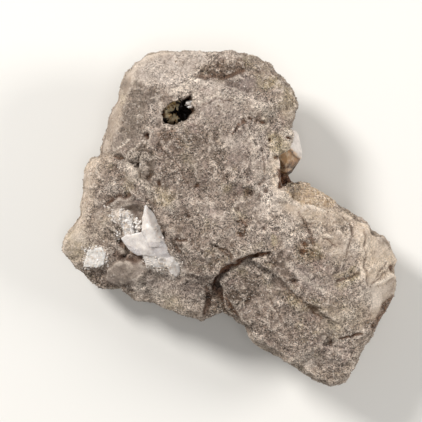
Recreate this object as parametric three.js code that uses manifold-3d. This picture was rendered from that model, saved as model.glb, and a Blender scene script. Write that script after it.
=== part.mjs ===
// Herkimer diamond on matrix: a hand specimen of dolostone with quartz crystals in its pockets.
// Millimetres, +Z up. The stone lies on its back: the origin is under the middle of its outline,
// on the ground, and the collector's face looks up.
import * as THREE from "three";
import { ConvexGeometry } from "three/addons/geometries/ConvexGeometry.js";
import { ImprovedNoise } from "three/addons/math/ImprovedNoise.js";
import { mergeVertices } from "three/addons/utils/BufferGeometryUtils.js";
import Module from "manifold-3d";

const wasm = await Module();
wasm.setup();

// ---- driving dimensions -----------------------------------------------------------------------
const GAP = 0.35; // clearance between a crystal and the stone around it
const FACE_EDGE = 5.4; // longest triangle edge on the collector's face
const BACK_EDGE = 9; // and on the underside
const BACK_BELOW = 11; // height under which the stone counts as underside
const SWELL = { wave: 17, reach: 1.5 }; // broad unevenness of every broken face
const HACKLE = { wave: 8, reach: 1.1 }; // finer, splintery unevenness
const SIDEWAYS_SHARE = 0.6; // how much of the unevenness goes sideways
const HERKIMER_WIDTH = 9.6; // across two opposite prism faces
const HERKIMER_PRISM = 5.8; // along the prism, between the two points
const CUTTER_SIZE = 140; // side of the boxes that cut at a level

// ---- the stone's outline ----------------------------------------------------------------------
// Its widest line, anticlockwise from the right: [x, y, height of that line].
const OUTLINE = [
  [38.4, 0.6, 16], [35, 2.8, 16], [31.4, 5.2, 16], [28.2, 7, 16], [25.2, 9, 15.5], [23, 10.6, 15],
  [20, 9.9, 14], [17.6, 12.6, 14], [17.6, 17, 16], [18, 23, 17], [19.4, 28.4, 17], [20.9, 34, 17.5],
  [19.4, 38, 18], [16.6, 41.4, 18], [12.6, 44.8, 18.5], [8, 48.6, 19], [3, 49.2, 20],
  [0.4, 49.4, 20], [-3, 48.4, 21], [-7, 49, 21], [-9, 50.3, 21], [-14, 50.2, 20], [-24.4, 49.9, 18],
  [-28.4, 47.2, 17], [-31, 43.6, 16.5], [-33.4, 35.4, 16], [-36.4, 29.4, 15.5], [-38.2, 23, 15],
  [-38.8, 20.4, 14.5], [-38.4, 18.8, 14], [-41.4, 18, 14], [-43.8, 15.6, 14], [-44, 9, 14],
  [-45, 4, 14], [-45.2, 0.5, 13.5], [-47.4, -3, 13], [-49.4, -7, 12.5], [-49.9, -9.8, 12],
  [-47.6, -13.6, 11.5], [-43.6, -17.6, 11], [-39.8, -20.2, 10.5], [-36, -21.2, 10],
  [-32.4, -20.8, 10.5], [-28.6, -25, 11], [-24, -25.2, 11.5], [-17, -27.6, 12], [-11.5, -29.9, 12.5],
  [-8.8, -31, 13], [-5.5, -28.4, 13], [-1.8, -27.8, 13], [1.6, -30.2, 14], [5.2, -32, 15],
  [7.2, -36.6, 15.5], [12, -39.6, 15.5], [20, -44.4, 15], [27, -48.6, 14.5], [31, -50.4, 14],
  [35.2, -48.4, 14], [38.6, -43.4, 13.5], [42, -36.6, 13.5], [45.2, -30, 13.5], [48.8, -23.4, 13.5],
  [49.9, -20.2, 13.5], [49.5, -16, 13.5], [50.3, -13.2, 13.5], [47.4, -8.6, 14], [45.4, -5.6, 14.5],
  [42.4, -4, 15], [41.2, -0.8, 15.5],
];
// How the outline draws in above and below its widest line: [share of the way, share of the
// width], the way being up to the crest or down to the ground.
const DRAW_IN_ABOVE = [[0.3, 0.985], [0.65, 0.955], [1, 0.9]];
const DRAW_IN_BELOW = [[0.35, 0.94], [0.68, 0.79], [0.9, 0.6], [1.12, 0.4]];
const CREST = 38;

// ---- the stone's face, as fracture blocks -----------------------------------------------------
// Each block stands from under the ground up to the corners [x, y, z] of its broken top. Those
// at the rim reach past the outline, which trims them.
const BLOCKS = {
  bed: [
    [-44, 0, 16], [-43, 17, 17.5], [-30, 47, 19], [-6, 51, 23], [14, 44, 20], [16, 13, 20],
    [41, -2, 18], [50, -14, 16], [46, -30, 15.5], [31, -51, 16], [8, -37, 18], [-8, -29, 18],
    [-30, -21, 15], [-40, -16, 14.5],
  ],
  core: [
    [-24, 19, 32.8], [-25, 27, 32.4], [-23, 37, 31.2], [-10, 41, 32], [2, 38.2, 31.6],
    [10, 33.2, 31], [13.4, 26, 29.8], [14.9, 17.6, 29.6], [14.4, 9, 30.4], [18, 4, 30.4],
    [18, -6, 31.6], [4, -10.8, 33.2], [-5, -17.4, 30.6], [-12, -16, 30.4], [-17, -5, 31],
    [-19, 1, 31], [-22, 6, 30.6], [-25, 12.6, 30.8],
    [-14, 24, 34], [0, 28, 34.2], [6, 14, 34.5], [1, -5, 34.6], [-10, 8, 33.6],
  ],
  trough: [
    [-37, 21, 23], [-20, 22, 28], [-14, 0, 28], [-14, -14, 26], [-28, 8, 26.4], [-38, 14, 21],
  ],
  shoulder: [
    [-35.4, 20, 25.6], [-34, 27, 27], [-31, 35, 27.8], [-28.6, 42.4, 27.8], [-25, 46.4, 27],
    [-10, 41.5, 31.4], [-22, 38, 31.4], [-25, 24, 32], [-29, 18.6, 30], [-8, 30, 32],
    [-42, 20, 12], [-40.5, 28, 13], [-37.5, 38, 13], [-33, 47, 14], [-28, 52, 19], [-18, 54, 23],
    [-5, 54, 23],
  ],
  brow: [
    [-11, 40, 31], [-4, 47, 28.4], [0.5, 48, 27.6], [6.5, 47, 27], [10, 43.6, 27.2],
    [14.5, 40.4, 26.6], [17, 36.5, 26.4], [18, 32, 25.8], [17.4, 28, 25.8], [9, 30, 30.6],
    [0, 36, 31.2], [8, 24, 31],
    [-8, 53, 23], [4, 54, 20], [12, 50, 20], [19, 44, 19], [24, 36, 18], [22, 28, 19],
  ],
  eave: [
    [8, 31, 31.4], [17.2, 28.8, 26.6], [18.3, 25.6, 26], [17.8, 21.2, 26.4], [16.4, 19.6, 27.4],
    [14.8, 17.6, 29], [8, 18, 32.4],
  ],
  flank: [
    [14, 6.6, 31.6], [4, 6, 33], [-2, -5, 32.6], [3.4, -9.6, 33.2], [13, -10.6, 32.6],
    [19, -13, 31.8], [26, -19, 31], [29.4, -29, 29.4], [36, -33, 27.4], [39.5, -22, 27.4],
    [39.6, -12, 27.4], [38.2, -4, 26.6], [34, -0.6, 26.8], [26, 2.8, 28.2], [18, 5.4, 30.6],
    [14, -2, 34], [24, -8, 32.6],
    [38, 5, 16], [46, 1, 16], [53, -8, 14], [54, -14, 13],
  ],
  slab: [
    [-2.6, -18.4, 29], [1.6, -14.6, 29.8], [8, -8, 30.2], [20, -9, 30.2], [28, -20, 29.4],
    [34, -28, 28.4], [38, -34, 26.8], [46, -33, 22], [40, -44, 22], [36, -51, 21.6],
    [31, -53, 21.4], [16, -44, 23], [6, -38, 24.6], [2, -31, 26], [-1, -26.4, 26.8],
  ],
  cheek: [
    [38, -20.4, 27.2], [45, -18, 22.8], [49, -16.6, 19], [54, -15, 14], [54, -24, 11],
    [47, -36, 11], [40, -33, 24.4], [36, -26, 27.8],
  ],
  ledge: [
    [15.2, 8.2, 22.4], [18, 10.6, 21], [22, 9.8, 21.6], [26.4, 7.2, 22], [33, 2.2, 23.4],
    [28, -2, 27], [14, 3, 27], [19, 14, 18], [26, 13, 18], [32, 9, 18], [38, 5, 18],
  ],
  lobe: [
    [-37, 17.4, 22.4], [-41, 15.4, 20.6], [-41, 10, 22.2], [-40.6, 5, 22.8], [-42.4, 0, 21.6],
    [-38, -4, 23.6], [-34, -6, 24.6], [-20, 0, 28.8], [-21.6, 6.8, 29.6], [-25, 10.2, 29.4],
    [-30, 14.8, 28], [-33, 17, 25.6], [-16, -4, 28.6],
    [-40, 19, 16], [-46, 17, 14], [-49, 6, 14], [-50, -2, 13],
  ],
  toe: [
    [-42.4, 0, 21.4], [-44.6, -4.5, 20], [-46.6, -9, 17.4], [-44.4, -12.2, 16.8], [-40, -14.2, 17.8],
    [-36, -13, 20.4], [-31, -9, 24], [-32, -3, 25], [-50, -1, 14], [-55, -9, 12], [-48, -18, 11],
    [-42, -22, 10],
  ],
  boss: [
    [-37, -15.4, 20], [-34, -12.8, 22.2], [-28.5, -12.4, 24], [-24.6, -15, 24.4],
    [-27.5, -18.4, 22.2], [-33, -19.6, 18.8], [-37.4, -18.6, 17.4],
  ],
  belly: [
    [-34, -13, 20], [-37, -18, 16], [-29, -22.6, 17], [-14, -26, 19.6], [-9.5, -28.4, 19.4],
    [-6.4, -25, 22.4], [-4.8, -20, 27], [-4, -15, 30.6], [0, -8, 31.4], [-12, -4, 31],
    [-18, -10, 29.6], [-22, -12.5, 27.4], [-28, -9, 24.4],
    [-42, -22, 11], [-30, -29, 11], [-14, -32, 14], [-8, -34, 14],
  ],
  chin: [
    [-7, -22, 24.4], [-5, -18.4, 27.4], [-3, -20.4, 26.2], [-1.8, -24.4, 24.4], [0.6, -28, 22.6],
    [2, -31, 21], [-2, -31, 18], [-6, -30, 18.4], [-9, -27, 20],
  ],
};
// How much wider a block is at its foot than at its top.
const BLOCK_FLARE = 1.1;
const BLOCK_FOOT = -4;

// ---- hollows ----------------------------------------------------------------------------------
// The dark vug near the top: its mouth in plan, and the flask-shaped hollow under it.
const VUG_MOUTH = [
  [-20.4, 30.8], [-19, 33.1], [-16, 35.2], [-11.2, 36.6], [-11.6, 34], [-10.6, 32.2], [-12.2, 29.8],
  [-15.4, 28.4], [-19.2, 28.4],
];
const VUG = { at: [-15.4, 32.2, 23.6], radii: [6.4, 5.2, 7.6], mouthFrom: 27, mouthTo: 40 };
// The shallow vug in the left lobe, and the open pocket under the eave, as hulls of their corners.
const HOLLOWS = {
  lobeVug: [
    [-36.5, 3.8, 34], [-33, 6.6, 34], [-27, 6.6, 34], [-22.4, 3.4, 34], [-18.4, -3, 34],
    [-14.4, -14, 34], [-17, -18, 34], [-25, -13.8, 34], [-32.6, -8.4, 34],
    [-32.4, 3, 25.4], [-27, 3.6, 26.2], [-22.4, 1, 26.2], [-18, -11, 25], [-24, -10.6, 23.8],
    [-30.2, -6.4, 24],
  ],
  pocketWell: [
    [14.5, 8.8, 40], [14.9, 18.8, 40], [30, 18.8, 40], [30, 12.6, 40], [17.3, 10.7, 40],
    [15, 9.6, 13], [15, 18.6, 13], [30, 18.6, 12], [30, 12.8, 12], [17.2, 11, 13],
  ],
  pocketUndercut: [
    [12.6, 12.6, 20], [12.6, 19, 22.4], [13.6, 24.6, 22.4], [30, 26, 22.4], [30, 12.6, 19],
    [13.2, 13.6, 12.6], [14.4, 23.4, 12.6], [30, 24.6, 11], [30, 13, 11],
  ],
};
// The open joint between the main face and the slab: [x, y, width] along its way.
const CLEFT = [
  [-6.2, -25, 1.1], [-4.2, -21.2, 1.5], [-3.4, -17.6, 1.2], [0, -14.4, 1.3], [4.2, -12.1, 1.5],
  [9, -10.9, 1.1], [12.6, -10.3, 0.5],
];
const CLEFT_TOP = 36;
const CLEFT_FLOOR = 25.4;

// ---- quartz -----------------------------------------------------------------------------------
// The Herkimer: where its middle lies, the direction that its free point faces, and the level
// direction towards which one of its long edges is turned, before the small turn given here.
const HERKIMER_AT = [15.9, 21.1, 19.8];
const HERKIMER_POINTS_TO = [0.15, -0.82, 0.35];
const HERKIMER_EDGE_TO = [0.95, 0.32, 0];
const HERKIMER_TURN = 0.04; // radians
const POINT_SLOPE = THREE.MathUtils.degToRad(51.8); // a point's faces against the prism's end

// The white blades grown together in the lobe's vug, and the small cleaved piece at the corner.
const BLADES = {
  spear: [
    [-24.8, 4.4, 28.4], [-21.8, 0.8, 27.9], [-20.3, -3.6, 27.8], [-18.7, -8.2, 27.6], [-23.6, -8.4, 28.8],
    [-26, -3.8, 28.4], [-25.8, 0.4, 28.6], [-24, -2, 29.6],
    [-24.4, 2, 22.6], [-21.4, -6, 22.4], [-25.2, -5, 22.2],
  ],
  fan: [
    [-32.2, -5.8, 25.2], [-30.4, -4.4, 26.2], [-26, -3.9, 27.6], [-23.4, -7.4, 28.4], [-24.6, -10.6, 27.2],
    [-27.4, -11, 26.2], [-30, -9, 25.4],
    [-29, -6, 20.8], [-24.6, -8.6, 21.4],
  ],
  cleavage: [
    [-24.6, -7, 28.2], [-19.6, -6.6, 28], [-17.3, -9.4, 27.4], [-16.6, -11.2, 27], [-19, -12.2, 27.2],
    [-25, -10.8, 27.2],
    [-18.6, -10, 22.6], [-24, -9.6, 21.6],
  ],
  knob: [
    [-18.8, -11.8, 28], [-16.1, -10.9, 28.4], [-15, -13.2, 27.8], [-14.5, -15.6, 26.6],
    [-15.8, -17.3, 25.8], [-17.6, -16.2, 26.2], [-18.8, -14, 27],
    [-17.6, -12.6, 21.8], [-16, -15.2, 21.6],
  ],
  foot: [
    [-25.8, -10.4, 26.4], [-25.2, -12.6, 25.8], [-24.2, -13.8, 25.4], [-21.6, -14.4, 25.6],
    [-18.2, -14.2, 26.2], [-18.2, -11, 27.4],
    [-23.6, -12.2, 20.6], [-19, -12.8, 21],
  ],
  spur: [
    [-32.6, 1.9, 26.4], [-30, 2.1, 27.4], [-29.6, -0.8, 26.6], [-28.2, -3.2, 26.8], [-31.6, -4.6, 25.4],
    [-32.8, -1, 25.2],
    [-31.4, 0.4, 21.4], [-29, -3.4, 20.8], [-28.4, -5.8, 24.6],
  ],
};
const CORNER_PIECE = [
  [-42.2, -9.4, 19.6], [-38.2, -8.5, 22.2], [-36.8, -10.6, 22.2], [-37.6, -13.7, 20.2],
  [-40.2, -14.5, 18.6], [-43.8, -14.4, 16.4], [-43.2, -11.8, 17.8],
  [-41, -10.2, 14], [-38.6, -12.6, 14],
];

// The crust that lines the vug: a thin lining, and small crystals on it that face inwards. They
// climb from the lowest to the highest share of the hollow's half height.
const CRUST = { thickness: 1, top: 29.4, crystals: 20, lowest: -0.95, highest: 0.35 };
const CRUST_CRYSTAL = { radius: 1.3, varies: 0.35, slimness: 2.2, sunk: 0.4 };
const GOLDEN_ANGLE = Math.PI * (3 - Math.sqrt(5));

// ---- solids: three.js geometry in, manifold joins and cuts, three.js geometry out -------------
function solidFrom(geometry) {
  const bare = new THREE.BufferGeometry();
  bare.setAttribute("position", geometry.getAttribute("position").clone());
  if (geometry.index) bare.setIndex(geometry.index.clone());
  const merged = mergeVertices(bare, 1e-4);
  return new wasm.Manifold(
    new wasm.Mesh({
      numProp: 3,
      vertProperties: merged.attributes.position.array,
      triVerts: merged.index.array,
    }),
  );
}

function geometryFrom(solid) {
  const mesh = solid.getMesh();
  const geometry = new THREE.BufferGeometry();
  geometry.setAttribute("position", new THREE.BufferAttribute(mesh.vertProperties, 3));
  geometry.setIndex(new THREE.BufferAttribute(mesh.triVerts, 1));
  return geometry;
}

const vector = (corner) => new THREE.Vector3(...corner);
const hull = (points) => solidFrom(new ConvexGeometry(points));
const joined = (solids) => solids.reduce((whole, solid) => whole.add(solid));
const largestPiece = (solid) =>
  solid.decompose().reduce((big, piece) => (piece.volume() > big.volume() ? piece : big));

// The same points with a margin all round, for the socket that a crystal sits in.
function withMargin(points, margin) {
  const signs = [-1, 1];
  return points.flatMap((p) =>
    signs.flatMap((i) =>
      signs.flatMap((j) =>
        signs.map((k) => p.clone().add(new THREE.Vector3(i, j, k).multiplyScalar(margin))),
      ),
    ),
  );
}

// ---- broken stone -----------------------------------------------------------------------------
// Splits every edge that is longer than its limit, at its middle, until none is.
function refined({ positions, triangles }) {
  const points = [...positions];
  const lengthLimit = (z) => (z < BACK_BELOW ? BACK_EDGE : FACE_EDGE);
  const at = (i) => new THREE.Vector3(points[3 * i], points[3 * i + 1], points[3 * i + 2]);
  let faces = triangles;
  for (let again = true; again; ) {
    const middles = new Map();
    const key = (i, j) => (i < j ? `${i},${j}` : `${j},${i}`);
    for (const face of faces) {
      const edges = face.map((i, n) => [i, face[(n + 1) % 3]]);
      const lengths = edges.map(([i, j]) => at(i).distanceTo(at(j)));
      const longest = lengths.indexOf(Math.max(...lengths));
      const [i, j] = edges[longest];
      const middle = at(i).add(at(j)).multiplyScalar(0.5);
      if (lengths[longest] > lengthLimit(middle.z) && !middles.has(key(i, j))) {
        middles.set(key(i, j), points.length / 3);
        points.push(middle.x, middle.y, middle.z);
      }
    }
    faces = faces.flatMap((face) => splitFace(face, (i, j) => middles.get(key(i, j))));
    again = middles.size > 0;
  }
  return { points, faces };
}

// One triangle cut at the middles of those of its edges that have one.
function splitFace([a, b, c], middleOf) {
  const [ab, bc, ca] = [middleOf(a, b), middleOf(b, c), middleOf(c, a)];
  const cuts = [ab, bc, ca].filter((m) => m !== undefined).length;
  if (cuts === 0) return [[a, b, c]];
  if (cuts === 3) return [[a, ab, ca], [ab, b, bc], [ca, bc, c], [ab, bc, ca]];
  if (ab === undefined) return splitFace([b, c, a], middleOf);
  if (cuts === 1) return [[a, ab, c], [ab, b, c]];
  if (bc === undefined) return splitFace([c, a, b], middleOf);
  return [[ab, b, bc], [a, ab, bc], [a, bc, c]];
}

const noise = new ImprovedNoise();

// How far and which way uneven breakage has moved a point of the ideal, flat-faced block. The
// offsets keep the three directions' waves from being alike.
function unevenness(p, { wave, reach }) {
  const q = p.clone().divideScalar(wave);
  const shift = new THREE.Vector3(
    noise.noise(q.x, q.y, q.z + 7.3) * SIDEWAYS_SHARE,
    noise.noise(q.y + 31.4, q.z, q.x) * SIDEWAYS_SHARE,
    noise.noise(q.z, q.x + 17.9, q.y),
  );
  return shift.multiplyScalar(reach);
}

// A flat-faced solid, cut into small faces and made uneven.
function weathered(solid) {
  const mesh = solid.getMesh();
  const triangles = [];
  for (let i = 0; i < mesh.triVerts.length; i += 3) triangles.push([...mesh.triVerts.slice(i, i + 3)]);
  const { points, faces } = refined({ positions: mesh.vertProperties, triangles });
  const moved = new Float32Array(points.length);
  for (let i = 0; i < points.length; i += 3) {
    const p = new THREE.Vector3(points[i], points[i + 1], points[i + 2]);
    const shift = unevenness(p, SWELL).add(unevenness(p, HACKLE));
    p.add(shift).toArray(moved, i);
  }
  const geometry = new THREE.BufferGeometry();
  geometry.setAttribute("position", new THREE.BufferAttribute(moved, 3));
  geometry.setIndex(faces.flat());
  return solidFrom(geometry);
}

// ---- what is cut out of the stone -------------------------------------------------------------
function ball({ at, radii }, grow = 0, detail = 3) {
  const geometry = new THREE.IcosahedronGeometry(1, detail);
  geometry.scale(radii[0] + grow, radii[1] + grow, radii[2] + grow);
  geometry.translate(...at);
  return solidFrom(geometry);
}

function vug() {
  const mouth = VUG_MOUTH.flatMap(([x, y]) => [
    new THREE.Vector3(x, y, VUG.mouthFrom),
    new THREE.Vector3(x, y, VUG.mouthTo),
  ]);
  return ball(VUG).add(hull(mouth));
}

function cleft() {
  const across = CLEFT.map(([x, y, width], i) => {
    const [before, after] = [CLEFT[Math.max(i - 1, 0)], CLEFT[Math.min(i + 1, CLEFT.length - 1)]];
    const side = new THREE.Vector2(before[1] - after[1], after[0] - before[0]).setLength(width / 2);
    return [
      new THREE.Vector3(x + side.x, y + side.y, CLEFT_TOP),
      new THREE.Vector3(x - side.x, y - side.y, CLEFT_TOP),
      new THREE.Vector3(x, y, CLEFT_FLOOR),
    ];
  });
  return joined(across.slice(1).map((end, i) => hull([...across[i], ...end])));
}

function everythingBelow(level) {
  const box = new THREE.BoxGeometry(CUTTER_SIZE, CUTTER_SIZE, CUTTER_SIZE);
  return solidFrom(box.translate(0, 0, level - CUTTER_SIZE / 2));
}

function everythingAbove(level) {
  return everythingBelow(level + CUTTER_SIZE);
}

// ---- crystals ---------------------------------------------------------------------------------
// The corners of the convex solid inside a set of faces, each a THREE.Plane facing inwards.
function cornersOf(faces) {
  const corners = [];
  const cross = new THREE.Vector3();
  faces.forEach((a, i) =>
    faces.slice(0, i).forEach((b, j) =>
      faces.slice(0, j).forEach((c) => {
        const volume = a.normal.dot(cross.crossVectors(b.normal, c.normal));
        if (Math.abs(volume) < 1e-6) return;
        const corner = new THREE.Vector3()
          .addScaledVector(new THREE.Vector3().crossVectors(b.normal, c.normal), -a.constant)
          .addScaledVector(new THREE.Vector3().crossVectors(c.normal, a.normal), -b.constant)
          .addScaledVector(new THREE.Vector3().crossVectors(a.normal, b.normal), -c.constant)
          .divideScalar(volume);
        if (faces.every((face) => face.distanceToPoint(corner) > -1e-6)) corners.push(corner);
      }),
    ),
  );
  return corners;
}

// A quartz crystal along Z with a point at both ends. Every other face of a point lies a little
// further out, so three faces of each point are large and three small.
function quartzCorners({ width, prism, margin = 0, unequal = 0.1 }) {
  const faces = [];
  for (let side = 0; side < 6; side++) {
    const angle = ((side + 0.5) * Math.PI) / 3;
    const outwards = new THREE.Vector3(Math.cos(angle), Math.sin(angle), 0);
    const wide = 1 + unequal * 0.5 * Math.sin(side * 2.3);
    faces.push(new THREE.Plane(outwards.clone().negate(), (width / 2) * wide + margin));
    for (const end of [-1, 1]) {
      const large = (side + (end > 0 ? 0 : 1)) % 2 === 0;
      const slope = outwards.clone().multiplyScalar(Math.sin(POINT_SLOPE));
      slope.z = end * Math.cos(POINT_SLOPE);
      const reach = (prism / 2) * Math.cos(POINT_SLOPE) + (width / 2) * Math.sin(POINT_SLOPE);
      faces.push(new THREE.Plane(slope.negate(), reach * (large ? 1 : 1 + unequal) + margin));
    }
  }
  return cornersOf(faces);
}

function material(color, roughness, opacity = 1) {
  const transparent = opacity < 1;
  return new THREE.MeshStandardMaterial({ color, roughness, metalness: 0, opacity, transparent });
}

function mesh(name, geometry, look) {
  const made = new THREE.Mesh(geometry, look);
  geometry.computeVertexNormals();
  made.name = name;
  return made;
}

function herkimer() {
  const made = mesh(
    "herkimer_diamond",
    new ConvexGeometry(quartzCorners({ width: HERKIMER_WIDTH, prism: HERKIMER_PRISM })),
    material(0xcbbfb0, 0.08, 0.6),
  );
  const along = vector(HERKIMER_POINTS_TO).normalize();
  const side = new THREE.Vector3().crossVectors(along, vector(HERKIMER_EDGE_TO)).normalize();
  const edge = new THREE.Vector3().crossVectors(side, along);
  made.quaternion.setFromRotationMatrix(new THREE.Matrix4().makeBasis(edge, side, along));
  made.rotateZ(HERKIMER_TURN);
  made.position.set(...HERKIMER_AT);
  made.updateMatrix();
  return made;
}

function herkimerSocket(placed) {
  const corners = quartzCorners({ width: HERKIMER_WIDTH, prism: HERKIMER_PRISM, margin: GAP });
  return hull(corners.map((p) => p.applyMatrix4(placed.matrix)));
}

function quartzBlades() {
  const blades = Object.values(BLADES).map((corners) => hull(corners.map(vector)));
  return mesh("quartz_blades", geometryFrom(joined(blades)), material(0xd7cbc3, 0.35));
}

function bladeSockets() {
  return joined(Object.values(BLADES).map((corners) => hull(withMargin(corners.map(vector), GAP))));
}

function cornerPiece() {
  const corners = CORNER_PIECE.map(vector);
  return mesh("corner_quartz", new ConvexGeometry(corners), material(0xdfd5cd, 0.3));
}

// One small crystal of the crust, at a direction from the middle of the vug.
function crustCrystal(direction, n) {
  const { radius, varies, slimness, sunk } = CRUST_CRYSTAL;
  const wide = radius * (1 + varies * Math.sin(1.7 * n));
  const seat = vector(VUG.radii).subScalar(GAP + CRUST.thickness * (1 - sunk)).multiply(direction);
  const turn = new THREE.Quaternion().setFromUnitVectors(
    new THREE.Vector3(0, 1, 0),
    direction.clone().negate(),
  );
  const point = new THREE.ConeGeometry(wide, wide * slimness, 6).applyQuaternion(turn);
  return solidFrom(point.translate(...seat.add(vector(VUG.at))));
}

function vugCrust() {
  const { thickness, top, crystals, lowest, highest } = CRUST;
  const inside = ball(VUG, -GAP, 2);
  const pieces = [inside.subtract(ball(VUG, -GAP - thickness, 2))];
  for (let n = 0; n < crystals; n++) {
    const height = lowest + ((highest - lowest) * n) / crystals;
    const direction = new THREE.Vector3(0, 0, height);
    direction.x = Math.cos(n * GOLDEN_ANGLE) * Math.sqrt(1 - height * height);
    direction.y = Math.sin(n * GOLDEN_ANGLE) * Math.sqrt(1 - height * height);
    pieces.push(crustCrystal(direction, n));
  }
  const crust = joined(pieces).intersect(inside).subtract(everythingAbove(top));
  return mesh("vug_druse", geometryFrom(largestPiece(crust)), material(0x9c8a72, 0.3));
}

// A block: its broken top, and the same outline flared out a little at its foot.
function block(corners) {
  const top = corners.map(vector);
  const middle = top.reduce((sum, p) => sum.add(p), new THREE.Vector3()).divideScalar(top.length);
  const flare = (p) => p.clone().sub(middle).multiplyScalar(BLOCK_FLARE).add(middle);
  const foot = top.map((p) => flare(p).setZ(BLOCK_FOOT));
  return hull([...top, ...foot]);
}

// Everything inside the outline: a tube of rings that draw in above and below its widest line.
function outlineBody() {
  const rings = [
    ...DRAW_IN_ABOVE.toReversed().map(([way, width]) => [way, width]),
    [0, 1],
    ...DRAW_IN_BELOW.map(([way, width]) => [-way, width]),
  ];
  const count = OUTLINE.length;
  const tube = new THREE.CylinderGeometry(1, 1, 2, count, rings.length - 1);
  const position = tube.attributes.position;
  const p = new THREE.Vector3();
  for (let i = 0; i < position.count; i++) {
    p.fromBufferAttribute(position, i);
    const turn = (Math.atan2(-p.z, p.x) / (2 * Math.PI) + 1) % 1;
    const [x, y, rim] = OUTLINE[Math.round(turn * count) % count];
    const [way, width] = rings[Math.round(((1 - p.y) / 2) * (rings.length - 1))];
    const onWall = Math.hypot(p.x, p.z) > 0.5 ? width : 0;
    position.setXYZ(i, x * onWall, y * onWall, way > 0 ? rim + way * (CREST - rim) : rim * (1 + way));
  }
  return solidFrom(tube);
}

function matrixStone(herkimerPlaced) {
  const blocks = Object.values(BLOCKS).map((corners) => weathered(block(corners)));
  const whole = joined(blocks).intersect(weathered(outlineBody()));
  const cuts = [
    everythingBelow(0),
    vug(),
    cleft(),
    ...Object.values(HOLLOWS).map((corners) => hull(corners.map(vector))),
    herkimerSocket(herkimerPlaced),
    bladeSockets(),
    hull(withMargin(CORNER_PIECE.map(vector), GAP)),
  ];
  const stone = cuts.reduce((left, cut) => left.subtract(cut), whole);
  return mesh("matrix", geometryFrom(largestPiece(stone)), material(0x9a8c80, 0.9));
}

const diamond = herkimer();
const specimen = new THREE.Group();
specimen.add(matrixStone(diamond), diamond, quartzBlades(), cornerPiece(), vugCrust());

export default specimen;
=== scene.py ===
"""A Herkimer diamond in its dolostone matrix, lying on its back on a pale table."""

import math

import bmesh
import bpy
import numpy as np
from mathutils import Matrix, Vector, kdtree, noise
from mathutils.bvhtree import BVHTree


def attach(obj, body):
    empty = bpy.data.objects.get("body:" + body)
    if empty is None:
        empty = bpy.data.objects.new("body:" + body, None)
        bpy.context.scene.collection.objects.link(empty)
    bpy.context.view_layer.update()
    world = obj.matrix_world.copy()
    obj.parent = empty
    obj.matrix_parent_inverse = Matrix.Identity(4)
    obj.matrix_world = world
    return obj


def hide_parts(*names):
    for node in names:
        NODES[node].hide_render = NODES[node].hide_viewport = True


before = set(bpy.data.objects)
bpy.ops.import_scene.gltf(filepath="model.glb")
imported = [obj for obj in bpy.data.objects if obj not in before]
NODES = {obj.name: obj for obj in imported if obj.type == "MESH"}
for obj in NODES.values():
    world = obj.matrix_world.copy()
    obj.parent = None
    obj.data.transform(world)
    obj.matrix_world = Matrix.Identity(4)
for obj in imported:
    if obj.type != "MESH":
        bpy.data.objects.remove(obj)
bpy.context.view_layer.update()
MM = 0.001

# ---------------------------------------------------------------- sizes, in mm

VOXEL = 0.4  # the grid that the stone's surface is rebuilt on
STONE_TRIANGLES = 190000  # kept after the underside is thinned
SETTLE_ROUNDS = 8  # how far the CAD blocks' sharp corners are worn
RESTING = 0.3  # below this height the stone is its flat resting face
RELIEF_FADE = 1.6  # over this height the relief grows from nothing to its full reach
RELIEF_DROP = 0.08  # the broken surface lies this far inside the CAD solid's
UPPER_SIDE = (2.0, 7.0)  # over these heights the looks of the upper side fade in
OFF_THE_STONE = (0.35, 0.8)  # a joined surface this far off the CAD stone is a crystal's
CRYSTAL_SINK = 0.75  # how far the stone lies below a crystal's own surface
GROOVE_STRAY = 0.55  # how far cracks, ridges and pits stray from their drawn places
PATCH_STRAY = (0.9, 0.45)  # the same for patches of finish: in broad bends and in a fine fray
VEIN_AND_HIGHLIGHT_STRAY = (0.35, 0.2)  # the same for veins and painted highlights
HERKIMER_MIDDLE = (15.9, 21.1, 19.8)
MILKY_EDGE = (19.1, 18.9, 20.0)  # where the milky half of the Herkimer, its white partly a painted reflection, meets the clear half
FILM_EDGE = (20.0, 19.8, 20.0)  # how far the iron-stained inside reaches under the milky half
TO_MILKY = (0.68, 0.73, 0.0)  # the way from the clear half to the milky half
TO_CLEAR = (-0.68, -0.73, 0.0)  # the way back
MILKY_FROM = 26.8  # how far along the way to the milky half its edge lies
POCKET = ((16.6, 15.0, 17.0), (3.6, 6.6, 9.0))  # hollow at the Herkimer's foot, painted dark with stain, dirt and shade: middle, radii
POCKET_TOP = (24.5, 27.5)  # over these heights its painted dark fades out
VUG = ((-15.4, 32.2, 24.6), (7.4, 6.2, 7.6))  # the part of the vug painted dark with stain, dirt and shade: middle, radii
VUG_TOP = (28.0, 26.0)  # its painted dark is gone at the first height and full at the second
MOUTH_TOP = (31.0, 29.5)  # the same within the outline of the mouth
VUG_RIM = (24.5, 27.0)  # over these heights the stone round the mouth takes its ragged outline
VUG_RIM_REACH = 2.2  # how far from the outline the stone still moves with it
VUG_HEART = (-15.4, 32.2, 24.0)  # the inner side of the crust faces this place
CRUST_BREAK = (-15.6, 32.0, 23.4)  # a point of the slanted plane that the crust is broken along
BREAK_WAY = (0.616, 0.0, 0.788)  # square to that plane, which leans by 38 degrees
BREAK_LEAN = 38  # in degrees
BREAK_BLOCK = 40  # the block that takes the crust away above the plane
TABLE_REACH = 6000.0  # from the middle to each side
TABLE_DROP = 0.1  # the table lies this far under the stone
CAMERA_PLACE = (-5.55, 2.33, 1016.0)
SENSOR = 36.0  # how wide the camera's sensor is
CAMERA_REACH = 1000.0  # from the camera down to the middle of the stone
FIELD = 126.6  # how wide the camera sees there

# ---------------------------------------------------------------- other settings

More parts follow.
